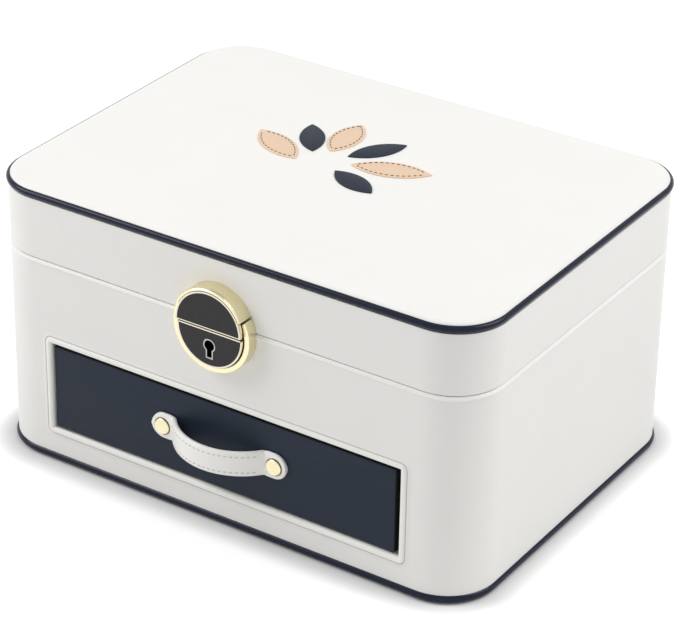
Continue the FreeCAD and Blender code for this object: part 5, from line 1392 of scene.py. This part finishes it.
class BOX_OT_ring_rolls(bpy.types.Operator):
    """Fill the ring compartment with soft rolls that stand side by side"""

    bl_idname = "box.ring_rolls"
    bl_label = "Ring rolls"

    def execute(self, context):
        low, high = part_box("ring_rolls")
        pitch = (high.y - low.y + ROLL_GAP) / ROLLS
        half = (pitch - ROLL_GAP) / 2
        corner = ROOM_CORNER
        roll = swell(self.slack_roll(low, high, half), low.z + ROLL_FOOT, form_settings().pad_cap)
        for vert in roll.verts:
            vert.co.x = min(high.x, max(low.x, vert.co.x))
            vert.co.y = min(half, max(-half, vert.co.y))
            vert.co.z = min(high.z, max(low.z, vert.co.z))
        for number in range(ROLLS):
            bm = roll.copy()
            bmesh.ops.translate(bm, verts=bm.verts[:], vec=(0, low.y + half + pitch * number, 0))
            for vert in bm.verts:
                for side in (-1, 1):
                    centre = Vector((high.x - corner, (low.y + corner) if side < 0 else (high.y - corner)))
                    flat = Vector((vert.co.x, vert.co.y)) - centre
                    if flat.x > 0 and flat.y * side > 0 and flat.length > corner:
                        flat.length = corner
                        vert.co.x, vert.co.y = centre.x + flat.x, centre.y + flat.y
            made = piece("ring_roll_%d" % (number + 1), bm, "velvet", "case", ["ring_rolls"], smooth=180)
            smoothing = made.modifiers.new("smooth", "SUBSURF")
            smoothing.levels = smoothing.render_levels = 1
        roll.free()
        return {"FINISHED"}

    def slack_roll(self, low, high, half):
        """One roll before it is filled, a little smaller than its place and centred on y = 0."""
        width, tall = half * 0.9, (high.z - low.z) * 0.94
        bm = bmesh.new()
        level_face(bm, (-width, 0), (width, tall), 0.0)
        tops = [vert for vert in bm.verts if vert.co.y > tall / 2]
        round_corners(bm, tops, width * 0.98, 9)
        feet = [vert for vert in bm.verts if vert.co.y < 1e-6]
        round_corners(bm, feet, 1.2 * MM, 3)
        bmesh.ops.rotate(bm, verts=bm.verts[:], matrix=Matrix.Rotation(math.radians(90), 3, "X"))
        stations = []
        for step in range(17):
            x = low.x + 1.2 * MM + (high.x - low.x - 2.4 * MM) * step / 16
            stations.append(Matrix.Translation((x, 0, low.z)) @ Matrix.Rotation(math.radians(90), 4, "Z"))
        sweep(bm, section_edges(bm), stations)
        close_holes(bm)
        ends = [e for e in bm.edges
                if e.calc_face_angle(0) > 1.2 and abs(e.verts[0].co.x - e.verts[1].co.x) < 1e-7]
        soften(bm, ends, 1.5 * MM, 3)
        return bm


# Mirror
class BOX_OT_mirror(bpy.types.Operator):
    """Frame the mirror in the lid with a gold moulding"""

    bl_idname = "box.mirror"
    bl_label = "Mirror frame"

    def execute(self, context):
        low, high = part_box("mirror_frame")
        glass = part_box("mirror_glass")
        wide = high.x - glass[1].x + 2 * MM
        tall = high.z - low.z
        seat = high.z - glass[0].z
        bm = bmesh.new()
        edges = section_loop(bm, (
            (0, 0), (0, -0.45 * tall), (-0.06 * wide, -0.72 * tall), (-0.2 * wide, -0.94 * tall),
            (-0.38 * wide, -tall), (-0.55 * wide, -0.93 * tall), (-0.66 * wide, -0.80 * tall),
            (-0.70 * wide, -0.86 * tall), (-0.78 * wide, -0.9 * tall), (-0.88 * wide, -0.84 * tall),
            (-wide, -0.66 * tall), (-wide, -seat - 0.02 * MM), (-wide + 2 * MM, -seat - 0.02 * MM),
            (-wide + 2 * MM, 0),
        ))
        sweep(bm, edges, round_track(high.x, high.y, 13 * MM, high.z, 10))
        weld(bm)
        piece("mirror_moulding", bm, "gold", "lid", ["mirror_frame"], smooth=25)
        return {"FINISHED"}


# Stage
class BOX_OT_stage(bpy.types.Operator):
    """Set the camera, the pale floor and the soft studio light"""

    bl_idname = "box.stage"
    bl_label = "Stage"

    def execute(self, context):
        scene = context.scene
        stage = scene.box_stage
        scene.view_settings.view_transform = "Standard"
        self.camera(scene, stage)
        self.floor(scene, stage)
        self.lamp(scene, "right_lamp", (0.9, 0.45, 1.25), 1.1, stage.key)
        self.lamp(scene, "left_lamp", (-1.0, -0.62, 1.0), 0.9, stage.fill)
        self.surroundings(scene, stage)
        return {"FINISHED"}

    def seen_directly(self, tree):
        """1 for what the camera, a reflection or clear glass shows, and 0 for light that falls on things."""
        path = add_node(tree, "ShaderNodeLightPath").outputs
        glossy = add_node(tree, "ShaderNodeMath", {"operation": "MAXIMUM"}, _0=path["Is Camera Ray"],
                          _1=path["Is Glossy Ray"]).outputs[0]
        return add_node(tree, "ShaderNodeMath", {"operation": "MAXIMUM"}, _0=glossy,
                        _1=path["Is Transmission Ray"]).outputs[0]

    def surroundings(self, scene, stage):
        """A white studio: full white where it is seen, dimmer where it only lights the box."""
        world = bpy.data.worlds.new("studio")
        world.use_nodes = True
        tree = world.node_tree
        tree.nodes.clear()
        strength = add_node(
            tree, "ShaderNodeMapRange", Value=self.seen_directly(tree), To_Min=stage.sky, To_Max=1.0)
        sky = add_node(tree, "ShaderNodeBackground", Color=(1, 1, 1, 1), Strength=strength.outputs["Result"])
        add_node(tree, "ShaderNodeOutputWorld", Surface=sky.outputs["Background"])
        scene.world = world

    def camera(self, scene, stage):
        data = bpy.data.cameras.new("camera")
        data.lens = stage.lens
        data.sensor_width = 36.0
        data.dof.use_dof = False
        camera = bpy.data.objects.new("camera", data)
        scene.collection.objects.link(camera)
        back = Vector((
            math.sin(stage.azimuth) * math.cos(stage.elevation),
            -math.cos(stage.azimuth) * math.cos(stage.elevation), math.sin(stage.elevation)))
        right = Vector((0, 0, 1)).cross(back).normalized()
        up = back.cross(right)
        turned = Matrix((right, up, back)).transposed() @ Matrix.Rotation(stage.roll, 3, "Z")
        camera.matrix_world = Matrix.Translation(stage.place) @ turned.to_4x4()
        scene.camera = camera

    def floor(self, scene, stage):
        bm = bmesh.new()
        bmesh.ops.create_grid(bm, x_segments=1, y_segments=1, size=4.0)
        mesh = bpy.data.meshes.new("floor")
        bm.to_mesh(mesh)
        bm.free()
        floor = bpy.data.objects.new("floor", mesh)
        mesh.materials.append(self.pale_floor(stage))
        scene.collection.objects.link(floor)

    def pale_floor(self, stage):
        """Plain paper: a glow paints it white away from the box; near the box the glow is left out, so the
        real shadow shows darker there as a painted contact shadow.
        """
        # The paper's tone drifts over about 120 mm. The glow is measured from a rectangle under the box, with
        # half its width and depth in the core, and rises between 28.5 and 40.5 mm outside it: the floor
        # nearer than that is a painted contact shadow, and the rise paints its soft edge.
        material, tree, place = new_material("pale_floor")
        core = (104.0, 70.0, 0.0)
        seen = self.seen_directly(tree)
        shade = stage.floor_shade
        tone = add_node(tree, "ShaderNodeTexNoise", Vector=place, Scale=1 / 120.0, Detail=3.0).outputs["Fac"]
        plain = add_node(tree, "ShaderNodeMix", {"data_type": "RGBA"}, Factor=tone,
                         **shades(stage.floor, 0.004)).outputs[2]
        dimmed = add_node(
            tree, "ShaderNodeMix", {"data_type": "RGBA", "blend_type": "MULTIPLY"}, Factor=seen, _6=plain,
            _7=(shade, shade, shade, 1)).outputs[2]
        beyond = add_node(tree, "ShaderNodeVectorMath", {"operation": "ABSOLUTE"}, _0=place).outputs[0]
        beyond = add_node(tree, "ShaderNodeVectorMath", {"operation": "SUBTRACT"}, _0=beyond,
                          _1=core).outputs[0]
        beyond = add_node(tree, "ShaderNodeVectorMath", {"operation": "MAXIMUM"}, _0=beyond,
                          _1=(0.0, 0.0, 0.0)).outputs[0]
        beyond = add_node(tree, "ShaderNodeVectorMath", {"operation": "LENGTH"}, _0=beyond).outputs["Value"]
        # No glow near the box and a smooth rise past it: a painted contact shadow with a soft edge
        near = add_node(tree, "ShaderNodeMapRange", {"interpolation_type": "SMOOTHSTEP"}, Value=beyond,
                        From_Min=28.5, From_Max=40.5, To_Min=0.0, To_Max=stage.glow_past_painted_shadow).outputs["Result"]
        far = add_node(tree, "ShaderNodeMapRange", Value=beyond, From_Min=250.0, From_Max=1100.0,
                       To_Min=0.0, To_Max=0.25).outputs["Result"]
        glow = add_node(tree, "ShaderNodeMath", {"operation": "ADD"}, _0=near, _1=far).outputs[0]
        glow = add_node(tree, "ShaderNodeMath", {"operation": "MULTIPLY"}, _0=glow, _1=seen).outputs[0]
        shader = add_node(
            tree, "ShaderNodeBsdfPrincipled", Base_Color=dimmed, Emission_Color=(1, 1, 1, 1),
            Emission_Strength=glow, Roughness=0.9, Specular_IOR_Level=0.1)
        add_node(tree, "ShaderNodeOutputMaterial", Surface=shader.outputs["BSDF"])
        return material

    def lamp(self, scene, name, place, size, power):
        data = bpy.data.lights.new(name, "AREA")
        data.shape = "DISK"
        data.size = size
        data.energy = power
        lamp = bpy.data.objects.new(name, data)
        lamp.location = place
        aim = Vector((0, 0, 0.07)) - Vector(place)
        lamp.rotation_euler = aim.to_track_quat("-Z", "Y").to_euler()
        scene.collection.objects.link(lamp)


class BOX_PT_panel(bpy.types.Panel):
    """The box's settings and the steps that build its pieces"""

    bl_label = "Jewellery box"
    bl_idname = "BOX_PT_panel"
    bl_space_type = "VIEW_3D"
    bl_region_type = "UI"
    bl_category = "Jewellery box"

    def draw(self, context):
        layout = self.layout
        for group in SETTINGS:
            box = layout.box()
            box.label(text=group)
            for name in SETTINGS[group].__annotations__:
                box.prop(getattr(context.scene, group), name)
        for step in STEPS:
            layout.operator(step.bl_idname)


SETTINGS = {
    "box_finish": FinishSettings, "box_sewing": SewingSettings, "box_form": FormSettings,
    "box_stage": StageSettings,
}
STEPS = (
    BOX_OT_stage, BOX_OT_finishes, BOX_OT_padded_top, BOX_OT_piping, BOX_OT_hem, BOX_OT_back_joins,
    BOX_OT_opening_trim, BOX_OT_drawer_front, BOX_OT_pull_strap, BOX_OT_lock, BOX_OT_leaves,
    BOX_OT_linings, BOX_OT_ring_rolls, BOX_OT_mirror,
)


def register():
    for group, settings in SETTINGS.items():
        bpy.utils.register_class(settings)
        setattr(bpy.types.Scene, group, bpy.props.PointerProperty(type=settings))
    for step in STEPS + (BOX_PT_panel,):
        bpy.utils.register_class(step)


def unregister():
    for step in reversed(STEPS + (BOX_PT_panel,)):
        bpy.utils.unregister_class(step)
    for group, settings in SETTINGS.items():
        delattr(bpy.types.Scene, group)
        bpy.utils.unregister_class(settings)


def main():
    register()
    bpy.ops.box.stage()
    bpy.ops.box.finishes()
    bpy.ops.box.padded_top()
    bpy.ops.box.piping()
    bpy.ops.box.hem()
    bpy.ops.box.back_joins()
    bpy.ops.box.opening_trim()
    bpy.ops.box.drawer_front()
    bpy.ops.box.pull_strap()
    bpy.ops.box.lock()
    bpy.ops.box.leaves()
    bpy.ops.box.linings()
    bpy.ops.box.ring_rolls()
    bpy.ops.box.mirror()


if __name__ == "__main__":
    main()
